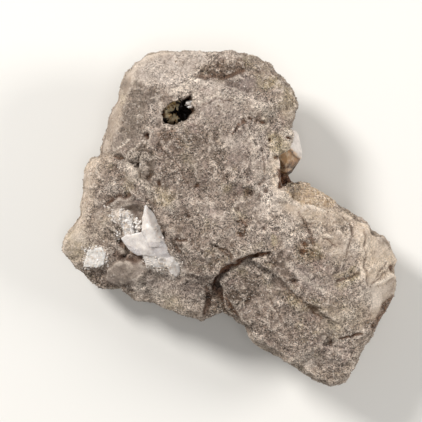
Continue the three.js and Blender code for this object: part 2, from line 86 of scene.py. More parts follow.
PARTING_TURN = -0.72  # how the streaks on the upper side run, in radians
QUARTZ_IOR = 1.544
MILKY_SPREAD = (1.0, 0.9, 0.8)  # how far red, green and blue light go in milky quartz
BROAD_CLOUD = (0.11, 4.0, 0.6, 0.4)  # the broad tones of the stone: scale, detail, roughness, seed
CALM_LOSS = 0.75  # the share of its relief that a smooth face loses
HOLLOW_SCALES = ((4, 0.10, 0.55), (32, 0.45, 0.6))  # for the painted shade in hollows and painted highlights on crests: rounds of easing, depth in mm, share
DENSEST = 8.0e6  # small crystals on a square metre, at most
FULL_TURN = 6.283  # in radians

# Colours that the stone and its loose grains share, from 0 to 255.
OLIVE = (172, 157, 118)
AMBER = (190, 168, 142)
SHADED = (112, 100, 88)
# Colours for the painted light and painted shade of the upper side.
LIGHTER = (214, 201, 188)
DARKER = (74, 60, 48)
WHITE = (228, 217, 206)

# Finishes that keep the loose sugar off: how wide they count and how much they keep off.
BARE = {"smooth": (1.0, 0.93), "dirt": (1.0, 1.0), "calm": (1.0, 0.55), "cream": (1.3, 0.92),
        "pale": (1.0, 0.6)}

# Fracture relief of the stone: size of the feature, how far it stands, seed.
DISHES = [(9.0, 1.4, 3), (4.2, 0.52, 8), (2.0, 0.16, 11)]
WAVES = [(8.0, 0.60, 21), (3.6, 0.40, 5), (1.7, 0.24, 13), (0.9, 0.12, 17)]
CRESTS = [(5.2, 0.45, 23), (2.4, 0.26, 27)]

# Cracks and grooves: points, width, depth, share of darkening in them, partly brown dirt and partly painted
# shade.
GROOVES = {
    "main crack": ([(-4.4, -20.4), (-4.0, -18.4), (-2.5, -16), (0, -14), (3, -12.2), (6, -11),
                    (9, -10.5), (11.4, -10.2)], 1.0, 0.85, 1.0),
    "crack wall": ([(-3.6, -17), (-1.6, -14.4), (1.4, -12.6), (5, -11.2), (8, -10.6)], 1.3, 0.3, 0.4),
    "branch crack": ([(-3.8, -8), (-2, -9.5), (0.6, -11.6)], 0.7, 0.6, 0.55),
    "slab edge": ([(-4.6, -20), (-2.6, -23), (-0.2, -25.8), (2, -29)], 2.0, 0.7, 0.6),
    "notch wall": ([(-6.8, -20.5), (-6.0, -24.0), (-7.2, -28.0)], 1.6, 0.6, 0.6),
    "valley on the slab": ([(12, -12), (16, -14.5), (18.5, -17.5), (20.5, -20.5), (23.5, -25.5),
                            (25, -28)], 2.6, 0.2, 0.1),
    "flank crease a": ([(20.7, 1.7), (23.2, -2.1), (25.1, -6.5)], 0.9, 0.35, 0.45),
    "flank crease b": ([(27.6, -5.9), (29.4, -6.4), (31.4, -7.9)], 0.5, 0.35, 0.5),
    "flank crease c": ([(33.9, 1), (35.6, -1.4), (36.5, -4)], 0.8, 0.35, 0.4),
    "cream crease": ([(42.8, -18.6), (44.6, -15.6), (46.6, -13.4)], 0.4, 0.3, 0.4),
    "slab crease a": ([(23.2, -26.1), (25.2, -28), (27, -29.3)], 0.8, 0.35, 0.6),
    "slab crease b": ([(12, -24), (14.6, -28), (16, -31.6)], 0.6, 0.25, 0.3),
    "plateau crease a": ([(-8, 33.6), (-4, 35.4), (1, 35.2)], 0.6, 0.3, 0.3),
    "plateau crease b": ([(9.6, 21), (10.4, 16), (9.8, 11)], 0.6, 0.3, 0.3),
    "plateau crease c": ([(-20, 20), (-15, 15.4), (-12, 9)], 0.6, 0.3, 0.35),
    "dark scratch": ([(0.4, 24.6), (2, 26.4), (3.2, 28), (3.9, 29.7)], 0.5, 0.5, 0.7),
    "dark gash": ([(5.6, 29.9), (8, 29.2), (10.3, 28.2)], 0.7, 0.4, 0.6),
    "start of the crack": ([(-3.9, -7.9), (-1.6, -9), (1.1, -11.1)], 0.45, 0.5, 0.6),
    "rusty crescent": ([(1.5, -0.5), (3.6, -0.9), (5, -2.2), (4.6, -4.4), (3.2, -5.2)], 0.6, 0.45, 0.85),
    "edge under the seam": ([(-34.2, 18.2), (-31, 17), (-29, 15)], 0.6, 0.4, 0.5),
    "groove by the blades": ([(-24.5, 5.7), (-20.4, 2.8), (-18.4, -1), (-17.4, -5), (-15.4, -9.5),
                              (-13.4, -14.5)], 1.4, 0.45, 0.35),
    "hollow under the blades": ([(-32.4, -7.2), (-30, -9.6), (-27, -11.4), (-25.6, -13.4)],
                                1.5, 1.4, 0.55),
    "pocket by the blades": ([(-34, -10.6), (-31, -11.4), (-28, -12.4)], 2.4, 1.4, 0.5),
    "arch": ([(-37.2, 3.6), (-35.6, 5), (-34.4, 6.1), (-32.8, 6.8), (-31.4, 6.5), (-30, 7.3)],
             1.2, 0.9, 0.5),
    "short crack": ([(-16.2, -6.0), (-14.6, -6.5), (-12.8, -6.2)], 0.7, 0.8, 0.8),
    "block seam": ([(-34.2, 18.7), (-32, 18.1), (-30, 17.3), (-28.6, 17.6)], 1.3, 0.2, 0.15),
    "seam pocket": ([(-26.8, 14.6), (-25.4, 13.2), (-24.2, 12.4)], 2.4, 0.2, 0.25),
    "hair crack": ([(1.0, 25.2), (1.8, 26.4), (2.7, 28)], 0.6, 0.6, 0.7),
    "flank crack": ([(32.6, -35.6), (36, -35), (39.2, -34.2)], 0.8, 0.9, 0.8),
    "olive seam": ([(32, -18.6), (34, -17.8), (36.2, -17), (38.2, -16)], 0.9, 0.5, 0.4),
    "flank line a": ([(36.2, -2.4), (36.2, -4.9), (34.7, -8.9), (34.4, -10.4)], 0.7, 0.5, 0.4),
    "flank line b": ([(39.7, -3.4), (40.4, -9.9), (39.9, -13.9), (40.9, -19.9)], 0.6, 0.45, 0.35),
    "bevel valley": ([(41.9, -20.4), (45.2, -16.9), (48.5, -13.6)], 0.8, 0.4, 0.2),
    "brow ledge": ([(-10.5, 42.3), (-6, 42.1), (-1.5, 42), (1.2, 42.6), (4, 43.6)], 1.5, 0.7, 0.4),
}

# Raised edges: points, width, height.
RIDGES = {
    "lobe ridge": ([(-31, 15.6), (-28, 13.6), (-25, 10.7), (-23.6, 8.6)], 1.6, 0.8),
    "fill by the blades": ([(-20.8, 2.6), (-18.6, -1.4), (-17.7, -4.8)], 2.6, 2.2),
    "arch lip": ([(-29.2, 7.6), (-27.4, 6.9), (-25.8, 5.6)], 1.1, 0.7),
    "vug rim": ([(-20.6, 36.2), (-15, 37.6), (-10, 39), (-9, 35)], 2.4, 0.5),
    "plateau step": ([(-10, 41.2), (-4, 40.4), (2, 38.2), (8, 34.6), (12, 31.6)], 2.2, 0.6),
    "wall edge": ([(14.2, 18.6), (14.6, 15), (13.8, 11), (14, 8.4), (17, 6.6)], 1.3, 0.6),
    "band under the ledge": ([(14, 6.4), (20, 4.3), (26, 3), (31, 1.6)], 2.0, 0.6),
    "bevel crest": ([(42.4, -20.3), (45.7, -18.5), (48.7, -16.9), (49.5, -17.6)], 1.0, 0.7),
    "flank knob": ([(39.4, -2.2), (40.2, -3.6)], 1.2, 0.6),
    "purple facet edge": ([(17.5, -13), (21.5, -15), (25.5, -18.4), (28, -22)], 2.2, 0.3),
    "slab foot": ([(-20, -22.6), (-17, -24), (-12, -26.4)], 2.0, 0.5),
}

# Pits: x, y, radius, depth, share of darkening by dirt and painted shade; past 1 it is black, a painted
# shadow deep in the pit.
PITS = [
    (-25.2, 24.8, 0.9, 2.6, 1.6), (-25.0, 23.7, 0.7, 2.0, 1.6), (-29.6, 17.3, 0.9, 1.0, 0.9),
    (9.9, 28.5, 0.8, 0.6, 0.8), (6.2, 29.7, 0.7, 0.5, 0.7), (6.4, 8, 1.0, 0.5, 0.5),
    (8.8, 6.9, 0.9, 0.5, 0.6), (2.6, 2.6, 0.7, 0.4, 0.5), (12, 23.4, 0.6, 0.9, 1.4),
    (17, 23.7, 0.45, 0.8, 1.3), (14, 18.2, 0.9, 0.9, 0.9), (-21, 10.5, 0.9, 0.7, 0.8),
    (-10, 9.6, 0.9, 0.7, 0.8), (3.4, -4.5, 0.8, 0.7, 0.8), (8.4, 29.4, 1.5, 0.7, 0.55),
    (4, 28.9, 0.9, 0.6, 0.6), (5.4, 7.6, 1.8, 0.7, 0.5), (49, -14.8, 1.2, 0.8, 0.8),
    (8.6, 10.4, 0.7, 0.4, 0.5), (10.6, 8.2, 0.8, 0.5, 0.6), (-12, 1.0, 0.7, 0.5, 0.6),
    (-9.6, 1.2, 0.6, 0.5, 0.6), (10, -2.5, 0.8, 0.4, 0.5), (22, -7.6, 0.9, 0.6, 0.8),
    (21.4, -9.6, 1.1, 0.6, 0.8), (27, -11, 0.8, 0.5, 0.5), (13.6, 12.6, 0.6, 0.5, 0.5),
    (-34, 15, 1.2, 0.4, 0.4), (25.2, -26.6, 1.0, 0.5, 0.6), (19, -18.6, 1.1, 0.6, 0.6),
    (30.4, -37, 0.9, 0.4, 0.5),
]

# Filled hollows: x, y, radius, height.
FILLS = [
    (-29.5, 16.6, 2.6, 1.9), (-26.8, 15.4, 3.0, 2.7), (-26.2, 18.4, 1.6, 2.0),
    (-27.6, -2.0, 1.6, 1.9), (-32, 0.6, 2.0, 0.8),
]

# Thin light lines: real veins, and painted highlights on the lit crests of ridges and steps: points, width,
# strength.
VEINS_AND_HIGHLIGHTS = [
    ([(-34.6, 18.8), (-33.4, 20.6), (-31.4, 22), (-30, 23.6)], 0.4, 0.9),
    ([(-31, 17.6), (-29.6, 19.8), (-27.8, 21), (-26.4, 22.6)], 0.4, 0.9),
    ([(-30.4, 14.9), (-28.4, 12.5), (-26.1, 10.8), (-24.5, 9.3), (-22.9, 7.7)], 0.6, 0.9),
    ([(16.9, -13.5), (21.9, -17.3), (27.6, -21.7)], 1.5, 0.45),
    ([(25.1, -2.7), (27.6, -4), (30.1, -5.3)], 0.8, 0.6),
    ([(-9.6, 34.4), (-4.4, 36.6), (2, 35.6), (7.4, 32.8), (12.6, 30.6)], 1.2, 0.5),
    ([(4.4, 23), (6.6, 19.4), (7, 14.6)], 0.8, 0.4),
    ([(14, 6.6), (18, 4.6), (24, 3.4), (27.4, 2.2)], 0.6, 0.6),
    ([(14.6, 18.4), (14.9, 15), (14.2, 11.4), (14.4, 8.6), (17.4, 6.2)], 0.6, 0.9),
    ([(-17, 36.6), (-13, 40), (-9.6, 42.2)], 1.2, 0.5),
    ([(5.4, 26), (6.8, 22.6), (7.4, 18.6)], 1.0, 0.5),
    ([(-1.6, -17), (1, -15), (4, -13.4)], 0.8, 0.35),
    ([(0.6, -9.8), (4, -8.6), (8.4, -8)], 0.9, 0.3),
    ([(42.6, -20.1), (45.7, -18.4), (48.8, -16.8)], 0.8, 0.95),
    ([(-20.4, -22.8), (-17, -25.6), (-12.6, -28.8)], 1.2, 0.4),
]

# Faces of the stone that take more than one finish: corners in plan.
GREY_BEVEL = [(42.4, -20.6), (48.7, -17.3), (49.9, -18), (50, -20.2), (48.7, -23.1), (47.2, -24.6),
              (45.2, -27.1), (43.2, -29.9), (42, -31), (41.8, -27.4)]
UPPER_FACET = [(-1.6, 43), (3.4, 43.6), (6.8, 41), (6.6, 37.4), (1.6, 37), (-1.6, 39)]
SLAB_FACET = [(17.4, -13), (21, -13.8), (25.2, -17), (28.2, -21), (27, -23), (23.6, -21), (19.6, -18),
              (17.6, -15.5)]
RUSTY_HOLLOW = [(2, 0.2), (5.4, -0.6), (5.2, -4.8), (2.4, -5.2)]
PLATEAU_FACET = [(-10.6, 38), (0, 36.4), (3, 30), (-4, 28), (-10, 29.4)]
MIDDLE_STRIP = [(-1.7, 24.4), (4.4, 24), (5.2, 16), (0, 15)]
WALL_STRIP = [(6.4, 17.6), (10.2, 17), (10.6, 12.6), (9.2, 9.4), (7, 11)]
SEAM_FACET = [(-27.4, 11.4), (-25.6, 15), (-22.8, 17.2), (-21.6, 16), (-22.6, 12), (-25, 10.2)]

# Patches of each finish: strength, softness of the edge, corners.
PATCHES = {
    "cream": [
        (0.5, 1.2, [(-39.6, 19.4), (-35.6, 20), (-33.2, 27), (-30.2, 35), (-28, 42), (-31, 46), (-38, 36)]),
        (0.5, 1.2, [(-32, 42), (-28, 49), (-18, 51.6), (-17, 49), (-25, 46.6), (-29, 42)]),
        (0.72, 2.6, [(-46, 18), (-38, 20.4), (-33, 18.8), (-38, 15), (-40.4, 9), (-41, 3), (-42.6, -3),
                    (-42.6, -9), (-45, -14.4), (-52, -10), (-47, 3)]),
        (0.4, 2.4, [(-41, 2.6), (-35, 3.2), (-31, 1.6), (-33, -5), (-38, -7), (-42, -6)]),
        (0.95, 2.0, [(38, 2), (36.4, -2), (37.6, -10), (39.6, -19), (43.6, -20.6), (50.6, -17), (52, -11)]),
        (0.45, 3.0, [(24, -1.5), (37, -3), (38, -14), (34, -15), (27, -10)]),
        (0.75, 1.8, [(13.4, 7.2), (19.6, 4.9), (30, 3.6), (37, 3), (40, -0.6), (30, -2.4), (18, 0.4)]),
        (0.85, 1.0, [(12.4, 19), (15.4, 18), (15.2, 9), (13, 6.4), (11.8, 12)]),
        (0.35, 1.0, [(14, 9.4), (18, 12), (24.4, 11), (33, 5), (30, 3.4), (21, 4.2), (16.6, 6.8)]),
        (0.4, 0.5, GREY_BEVEL),
        (0.45, 2.2, [(39, -22), (42, -22), (42, -31), (38, -42), (34, -49), (30, -52), (37, -40)]),
        (0.34, 2.0, [(-31, -25), (-20, -22), (-8, -25), (-7, -31), (-12, -32), (-30, -27)]),
        (0.3, 1.8, [(6, -37), (20, -41), (30, -46), (32, -52), (18, -47), (6, -40)]),
        (0.3, 2.2, [(15.4, 39), (18.6, 39.4), (20.6, 34), (19, 28), (14, 29), (13.6, 36)]),
    ],
    "pale": [
        (0.85, 1.8, [(-31, 43), (-27, 50), (-8, 52), (-6.6, 47), (-10, 41.2), (-20, 38.2), (-26, 40)]),
        (0.45, 1.0, [(-7, 50), (-6, 47.6), (-2, 48), (4, 48.4), (2, 51)]),
        # The next band is painted light: the lit slope of the step across the plateau.
        (0.62, 1.6, [(-22, 40), (-10, 43), (3, 39.6), (12, 34), (10, 31.8), (1, 35.6), (-9, 38.6),
                    (-21, 37.6)]),
        (0.42, 3.0, [(-9, 40), (2, 38), (6, 33), (3, 27), (-6, 27), (-11, 31)]),
        (0.5, 2.6, [(7, 27), (12.6, 27), (13.4, 10), (13, 3), (7, 3)]),
        (0.4, 1.2, [(-24, 37), (-21, 37.4), (-20.6, 28), (-13, 27.4), (-14, 24.6), (-22, 24.6), (-25, 30)]),
        (0.22, 3.0, [(-15, 8), (-4, 6), (6, 3), (2, -6), (-8, -3), (-14, 3)]),
        (0.25, 2.4, [(0, -1), (12, -1), (18, -6), (12, -9), (4, -9)]),
        (0.2, 2.4, [(-22, -15), (-12, -20), (-9, -27), (-20, -24)]),
        (0.3, 3.0, [(27, -33), (39, -22), (41, -32), (37, -40), (30, -42)]),
        (0.35, 2.0, [(-27, -14), (-16, -19), (-14, -23), (-26, -20)]),
        (0.25, 2.0, [(-20, -21), (-11, -22), (-10, -27), (-19, -26)]),
        (0.5, 1.6, [(-37, 4), (-30, 2.6), (-28, -2), (-29.4, -4.6), (-34, -6), (-37, -2)]),
        (0.4, 1.0, WALL_STRIP),
    ],
    "smooth": [
        (0.62, 1.6, [(-30, 42), (-27, 50), (-8, 52), (-7, 47), (-10.6, 43), (-20, 40.4), (-26, 40)]),
        (0.55, 1.4, [(-35.6, 20), (-33.2, 27), (-30.2, 35), (-28, 42.4), (-25.4, 40.6), (-24, 36),
                    (-25.6, 29), (-26.6, 21)]),
        (0.35, 1.2, UPPER_FACET),
        (0.9, 0.9, [(-33.4, 6), (-29, 6.6), (-26, 5.4), (-25.6, 0), (-27, -3), (-30, -2), (-30.6, 2.2),
                    (-33.4, 3)]),
        (0.95, 1.2, [(-37.4, -14), (-34, -12.4), (-28, -12.4), (-25, -14.6), (-27, -18), (-33, -20.2),
                    (-37.8, -19)]),
        (0.5, 1.2, SLAB_FACET),
        (1.0, 0.6, GREY_BEVEL),
        (0.6, 1.0, [(14, 5.6), (20, 3.4), (27, 2), (31, 1), (28, -0.6), (18, 1.6)]),
        (0.5, 1.4, [(26, -3.6), (33, -5), (35, -10), (32, -13.6), (27, -11)]),
        (0.4, 1.6, [(-24, -15), (-19, -19), (-13, -22.6), (-15, -25), (-23, -22), (-28, -18.4)]),
        (0.5, 1.6, PLATEAU_FACET),
        (0.5, 1.2, MIDDLE_STRIP),
        (0.5, 1.0, WALL_STRIP),
        (0.8, 1.0, [(-39.6, 19.4), (-36.4, 20), (-34.2, 27), (-31.2, 35), (-28.4, 42), (-24, 45.6),
                    (-14, 48.6), (-12, 52), (-30, 50), (-40, 36)]),
        (0.6, 1.4, [(-45, 18), (-41.6, 17), (-42.4, 8), (-44, 0), (-45, -6), (-52, -8), (-48, 4)]),
        (0.3, 3.0, [(-10, 39), (2, 37), (8, 32), (6, 27), (-6, 27), (-11, 31)]),
        (0.7, 1.0, [(-37, 21), (-34, 21), (-32, 29), (-29.6, 35), (-31, 37), (-34, 30)]),
        (0.7, 1.2, [(13, 5.6), (20, 4), (28, 2.4), (30, 0.4), (20, 1.4), (13, 3)]),
        (0.9, 0.6, SEAM_FACET),
    ],
    "lilac": [
        (0.8, 1.0, UPPER_FACET),
        (0.75, 1.0, SLAB_FACET),
        (0.5, 2.0, [(-24, 24), (-17, 26), (-15, 20), (-21, 18)]),
        (0.45, 2.4, [(-14, -18), (-8, -16), (-7, -25), (-13, -24)]),
        (0.4, 2.6, [(1, 27), (7, 28), (7, 10), (1, 10)]),
        (0.35, 1.6, [(29, -14), (37, -13), (37, -16), (30, -18)]),
        (0.4, 1.6, PLATEAU_FACET),
        (0.5, 1.2, MIDDLE_STRIP),
    ],
    "stain": [
        (0.6, 0.9, [(-7, -20.6), (-3.6, -20.4), (2, -27.6), (2.6, -30), (-8, -29.4)]),
        (0.78, 1.0, [(-10.4, 44.6), (-6, 46.2), (-2, 47.8), (4.4, 46.8), (4.6, 44), (1, 42.6), (-9, 42.2)]),
        (0.55, 1.4, [(20, -5), (24, -4.6), (26, -9), (24.6, -12.6), (20, -11.6)]),
        (0.35, 1.2, [(4, 9), (9.4, 9), (9.4, 6.2), (4, 6.2)]),
        (0.95, 0.6, [(14.2, 14), (18, 13.6), (18, 10.6), (15, 8.2), (14, 9)]),
        (0.75, 0.7, [(-27, 15), (-23, 15), (-22.6, 11), (-26.4, 11.4)]),
        (0.6, 0.9, [(-26.8, 15), (-22.6, 14.4), (-21, 11.4), (-24, 11), (-26.4, 13)]),
        (0.4, 0.9, RUSTY_HOLLOW),
        (0.35, 1.4, [(-22, 26.6), (-17, 26.2), (-16, 22.4), (-20.6, 21.6)]),
        (0.5, 0.9, [(-34, 18.8), (-28.6, 18.2), (-28.6, 16.6), (-33.6, 17.4)]),
        (0.5, 1.0, [(-45, -14), (-41, -15.4), (-37, -19.6), (-30, -22), (-32, -26), (-46, -19)]),
        # Painted shade on the side facing away under the grey bevel.
        (0.75, 0.5, [(42, -34.4), (41.6, -31), (44, -29), (46.4, -25.2), (48.6, -23.6), (50, -25),
                    (45.6, -32)]),
        (0.5, 0.6, [(47.8, -13.6), (51, -13), (51, -16), (48.4, -16.2)]),
    ],
    "olive": [
        (0.6, 1.0, [(21, -8), (26, -7), (27.4, -12), (22, -12)]),
        (0.5, 0.6, [(31, -16.4), (37.6, -14), (37.8, -15.4), (31.4, -17.6)]),
        (0.6, 1.0, [(16.6, -22), (22, -25), (27, -26), (25.4, -28.6), (18, -25.4)]),
        (0.6, 1.0, [(13.6, 18), (18.6, 25.4), (17, 27.4), (12.4, 22)]),
        (0.8, 0.4, [(12, -4.8), (14, -5.2), (14.2, -7.6), (12.2, -7.8)]),
        (0.7, 1.0, [(10.6, 38.6), (15.4, 38.8), (14.6, 42.4), (11, 42)]),
        (0.65, 1.0, [(11.6, 25), (17, 25.4), (18, 20), (13.6, 18.6), (11.6, 21)]),
        (0.55, 1.4, [(-24, 9), (-20, 9.6), (-15.6, 6.4), (-17, 2.6), (-21, 4.4), (-24, 7)]),
        (0.5, 0.9, [(-2.4, 10.4), (0.6, 10), (0.4, 8), (-2, 8)]),
        (0.65, 1.0, [(31.4, -19.6), (38.6, -15.6), (38.8, -18), (33, -21.6)]),
        (0.4, 1.8, [(17.6, -22), (24, -24.6), (31, -26.4), (27, -29.4), (20, -26)]),
        (0.45, 1.4, [(-20, -23), (-15, -23.6), (-14, -26.6), (-19, -27)]),
        (0.4, 1.8, [(-50, -3), (-44, -3), (-43, -11), (-48, -12)]),
        (0.35, 1.6, [(16, 40), (19.4, 38), (19.6, 31), (15.4, 31)]),
        (0.4, 1.2, [(20, -12), (25, -12), (25, -8), (20, -8)]),
        (0.22, 3.0, [(24, -27), (34, -24), (40, -26), (39, -34), (30, -36)]),
    ],
    "amber": [
        (0.7, 0.7, [(14, 9.4), (17, 11), (20, 10.4), (24.4, 11), (33, 5), (30, 3.4), (21, 4.2),
                    (16.6, 6.8)]),
        (0.4, 1.2, [(13.6, -5), (16, -6), (15.4, -9.4), (12.6, -8.4)]),
    ],
    "shade": [
        (0.75, 1.5, [(-35, 21), (-32.4, 28), (-29.6, 35), (-28, 41), (-25.8, 40), (-24.6, 35), (-25.6, 28),
                    (-27, 20)]),
        (0.6, 1.2, UPPER_FACET),
        (0.25, 1.4, [(-30, -9), (-26.4, -11.6), (-24, -14.6), (-18, -17.6), (-21, -19.6), (-28, -15)]),
        (0.45, 1.8, [(-15, 25.6), (-6, 25.8), (-0.6, 20), (-3, 14), (-12, 13), (-16, 18)]),
        (1.0, 0.6, SEAM_FACET),
    ],
    "dirt": [
        # Painted shade: the dark pocket at the Herkimer's foot, and the side facing away under the grey
        # bevel.
        (1.0, 0.35, [(14.2, 14.6), (18.2, 13.4), (17, 11.4), (16.4, 8.6), (14, 8.2)]),
        (0.7, 0.5, [(41.4, -33.4), (43, -29.8), (45.6, -26), (48.6, -22.4), (51, -24), (46, -33)]),
    ],
    "white": [
        (0.9, 0.6, [(-34.6, 1.6), (-31.6, 2.6), (-29.2, 2.4), (-28, 0.4), (-27, -1.8), (-26.8, -3.8),
                    (-29.4, -4.4), (-31.4, -3), (-32.8, -0.6)]),
        (0.6, 1.0, [(-15.4, -10.4), (-13.4, -13.4), (-13.6, -17), (-16.6, -18.4), (-22, -16.6),
                    (-26, -14.6), (-24, -12)]),
    ],
    "rust": [
        (0.8, 0.7, [(21.4, -5.4), (24.4, -5.4), (25.6, -9), (24.6, -11), (21.4, -10)]),
        (0.7, 0.8, RUSTY_HOLLOW),
        (0.5, 0.6, [(6, -9.4), (8.6, -9.8), (8.4, -12), (6, -11.4)]),
        (0.5, 1.0, [(16.6, -20.4), (22, -23.4), (25, -26), (23, -27.4), (17, -23)]),
        (0.5, 1.4, [(-23, 27), (-15, 26.6), (-14, 20), (-20.6, 18.6)]),
        (0.8, 0.6, [(-34, 18.9), (-29, 18.4), (-28.8, 16.8), (-33, 17.3)]),
    ],
}

# Painted light (+) and painted shade (-) on the upper side, where slopes face the light or lie in shadow,
# partly also broad lighter and darker tones of the stone: x, y, radius, how much.
SHADES = [
    (-34, -3, 2.4, -1.0), (-26, 14, 2.4, -0.7), (-34.4, 4.2, 1.8, -1.0), (-13.6, -9, 1.8, -1.0),
    (-44.6, -5.4, 2.6, 0.55), (0, -25, 3.0, -0.7), (-1, -28.6, 2.0, -0.5), (5.4, -32, 2.6, -0.8),
    (8.6, -37, 1.6, -0.5), (38, -35.6, 3.0, -0.6), (42, -32, 2.0, -1.0), (38, -42, 2.6, -0.5),
    (29, -35, 2.0, -0.5), (-13, 24, 2.4, -0.6), (-20, 22.6, 2.6, -0.5), (-24.6, 19, 2.0, -0.5),
    (19.6, 33, 2.0, -0.5), (-22.6, 36, 2.4, -0.9), (-10, 17, 2.0, -0.5), (33, -1, 2.4, -0.5),
    (28, 0, 2.0, -0.4), (-37, 28, 2.4, -0.5), (-31, 18, 1.8, -1.0), (-29.4, 15.8, 1.5, -0.7),
    (-24.2, 13.6, 2.2, -0.9), (-26, 18, 2.2, -1.0), (15, -14, 1.8, -0.6), (-15, 7, 1.8, -0.5),
    (-32, -13, 2.0, -0.5), (1, 44.6, 2.6, -0.55), (15, 41, 2.0, -0.4), (46, -7, 2.0, -0.35),
    (21, 21, 1.8, -0.5), (-5, 44.6, 2.4, -0.35), (13, 5, 3.0, 0.6), (17, -1, 3.0, 0.6), (17, -7, 2.5, 0.55),
    (21.6, -5.6, 2.2, 0.6), (42, -23, 3.0, 0.8), (36, -21, 2.4, 0.4), (17, 25, 2.0, 0.9),
    (-24, 7.6, 2.4, 0.7), (23, -42, 3.0, 0.75), (-27, -20, 2.5, 0.7), (-22, -22.4, 3.0, 0.6),
    (12, -17, 2.5, 0.6), (6, -14, 2.0, 0.4), (0, 22.4, 3.0, 0.5), (5, 24, 2.6, 0.45), (12, 31, 2.0, 0.5),
    (30, -21, 4.0, 0.3), (37, -8.6, 1.8, 0.6), (9, 7, 3.0, 0.45), (-35, 8.6, 2.5, 0.5), (10, 1, 3.0, 0.3),
    (-11.6, 37.2, 2.0, 1.0), (-15.4, 35.4, 1.2, 0.6), (-18, 2, 1.8, 0.8), (46.4, -21, 2.4, 0.4),
    (44, -25, 1.8, 0.5), (-2, 31, 6.0, -0.25), (6, -21, 6.0, -0.38), (-20, -17, 4.0, -0.3),
    (1, 40.6, 3.0, -0.5), (14.5, -13.4, 1.8, -0.5), (18.6, -17.4, 1.6, -0.7), (28.6, -36, 1.6, -0.6),
    (18.4, 9, 1.4, 0.9), (-31.6, 39.6, 2.6, -0.5), (27, -3, 2.4, 0.4), (-35, -10, 1.2, 0.5),
    (3, -24, 4.0, -0.3), (-8, -23, 2.4, 0.4), (18, -31, 2.0, 0.35),
]

# The ragged mouth of the vug, and a line of small quartz on its rim, in plan.
VUG_MIDDLE = (-15.6, 32.0)
VUG_MOUTH = [
    (-20.45, 30.9), (-19.95, 31.7), (-19.15, 32.9), (-17.95, 34.1), (-15.95, 34.9), (-14.5, 35.5),
    (-14.2, 35.0), (-13.6, 35.2), (-12.95, 36.3), (-11.25, 36.7), (-11.55, 35.5), (-11.95, 34.3),
    (-11.95, 32.9), (-10.4, 32.6), (-10.3, 31.2), (-11.4, 29.4), (-13.1, 28.2), (-15.4, 27.4),
    (-17.4, 27.1), (-19.9, 27.3), (-20.0, 28.9), (-20.4, 30.4),
]
VUG_RIM_QUARTZ = [(-12.0, 34.6), (-11.7, 34.0), (-11.6, 33.2)]

# A fan of broken blades, in plan.
BLADE_FAN = [(-34, 3.8), (-28.8, 3.4), (-27.2, -1), (-27.6, -4), (-33, -5)]

# The quartz at the left corner of the stone, in plan.
CORNER = [(-44, -8), (-36, -8), (-36, -15), (-44, -15)]

# Clearer (0) and whiter (1) parts of the milky quartz: corners, whiteness.
CORNER_TONES = [(CORNER, 0.97)]
BLADE_TONES = [
    ([(-24.8, 4.6), (-21.8, 0.6), (-20, -3.4), (-19.6, -6.6), (-24, -6.6), (-26, -3.4), (-25.8, 0)], 0.68),
    ([(-23.4, 2.6), (-21.8, 0.6), (-20, -3.4), (-19.6, -6.6), (-21.4, -6.6), (-22.2, -2)], 0.95),
    ([(-32.4, -6), (-30.6, -4.2), (-26, -3.6), (-25.4, -6), (-24.2, -7.8), (-25.4, -11), (-29, -10)], 0.7),
    ([(-24.2, -4.2), (-22, -4.4), (-22.4, -6.8), (-24.6, -7)], 0.9),
    ([(-23.8, -6.9), (-19, -6.5), (-17, -10.6), (-18.6, -11.9), (-22.6, -10.7)], 0.2),
    ([(-18.4, -11.9), (-15.8, -10.7), (-14.2, -15.4), (-15.8, -17.4), (-18.8, -14)], 0.8),
    ([(-33, 2.2), (-29.8, 2.4), (-28, -3.6), (-32, -5)], 0.8),
    ([(-25.8, -10.8), (-19, -11.4), (-18.6, -14.6), (-25.4, -14.4)], 0.75),
    ([(-32, -7.4), (-30, -8), (-27, -9.4), (-25.6, -11.4), (-29, -12), (-33, -9)], 0.0),
]

# Where small crystals grow, in plan; the first two lists also say how densely.
CORNER_DRUSE = [(CORNER, 0.6)]
BLADE_DRUSE = [
    ([(-34, 3.6), (-29.4, 3.2), (-27.6, -1), (-28.6, -4.2), (-33, -5)], 0.95),
    ([(-26, -10.8), (-19, -11.6), (-18.4, -15), (-25.6, -14.6)], 0.9),
    ([(-18.6, -12.6), (-16, -11.4), (-14, -15.4), (-15.8, -17.6), (-18.8, -14.6)], 0.45),
    ([(-21.4, 0.4), (-20, -2), (-19, -6.4), (-20.4, -6.8), (-22, -3)], 0.3),
]
BLADE_FOOT = [(-26, -9.6), (-19, -11), (-14.2, -13), (-14.4, -17.4), (-19, -16), (-25.4, -14.2)]
FAN_FOOT = [(-37, 3.6), (-31, 3.2), (-28.6, -1), (-27, -3.4), (-28.6, -5), (-33.4, -5.4)]
CORNER_FOOT = [(-44.4, -8.4), (-37.6, -7.6), (-36, -10), (-36.6, -14.8), (-43.6, -15)]
FAN_SPOT = [(-32.6, 2.2), (-29.4, 2.2), (-29.4, -1), (-32.4, -1)]
FAN_GAP = [(-30.4, 1.4), (-27.8, 0.4), (-26.3, -1.4), (-26.2, -3.6), (-29.4, -4.4), (-30.6, -2)]
LEDGE = [(16.6, 8.6), (17.2, 11.2), (20, 10.8), (24.6, 11.4), (33, 5.6), (30, 3.6), (21, 4.4), (16.6, 7)]

# ---------------------------------------------------------------- small helpers


def smooth_step(low, high, value):
    t = np.clip((value - low) / (high - low), 0.0, 1.0)
    return t * t * (3.0 - 2.0 * t)


def read(items, label, width, kind=np.float32):
    """A named value of every item, one row each."""
    flat = np.empty(len(items) * width, kind)
    items.foreach_get(label, flat)
    return flat.reshape(-1, width)


def points_of(mesh):
    return read(mesh.vertices, "co", 3).astype(float) / MM


def normals_of(mesh):
    return read(mesh.vertex_normals, "vector", 3).astype(float)


def edges_of(mesh):
    return read(mesh.edges, "vertices", 2, np.int32)


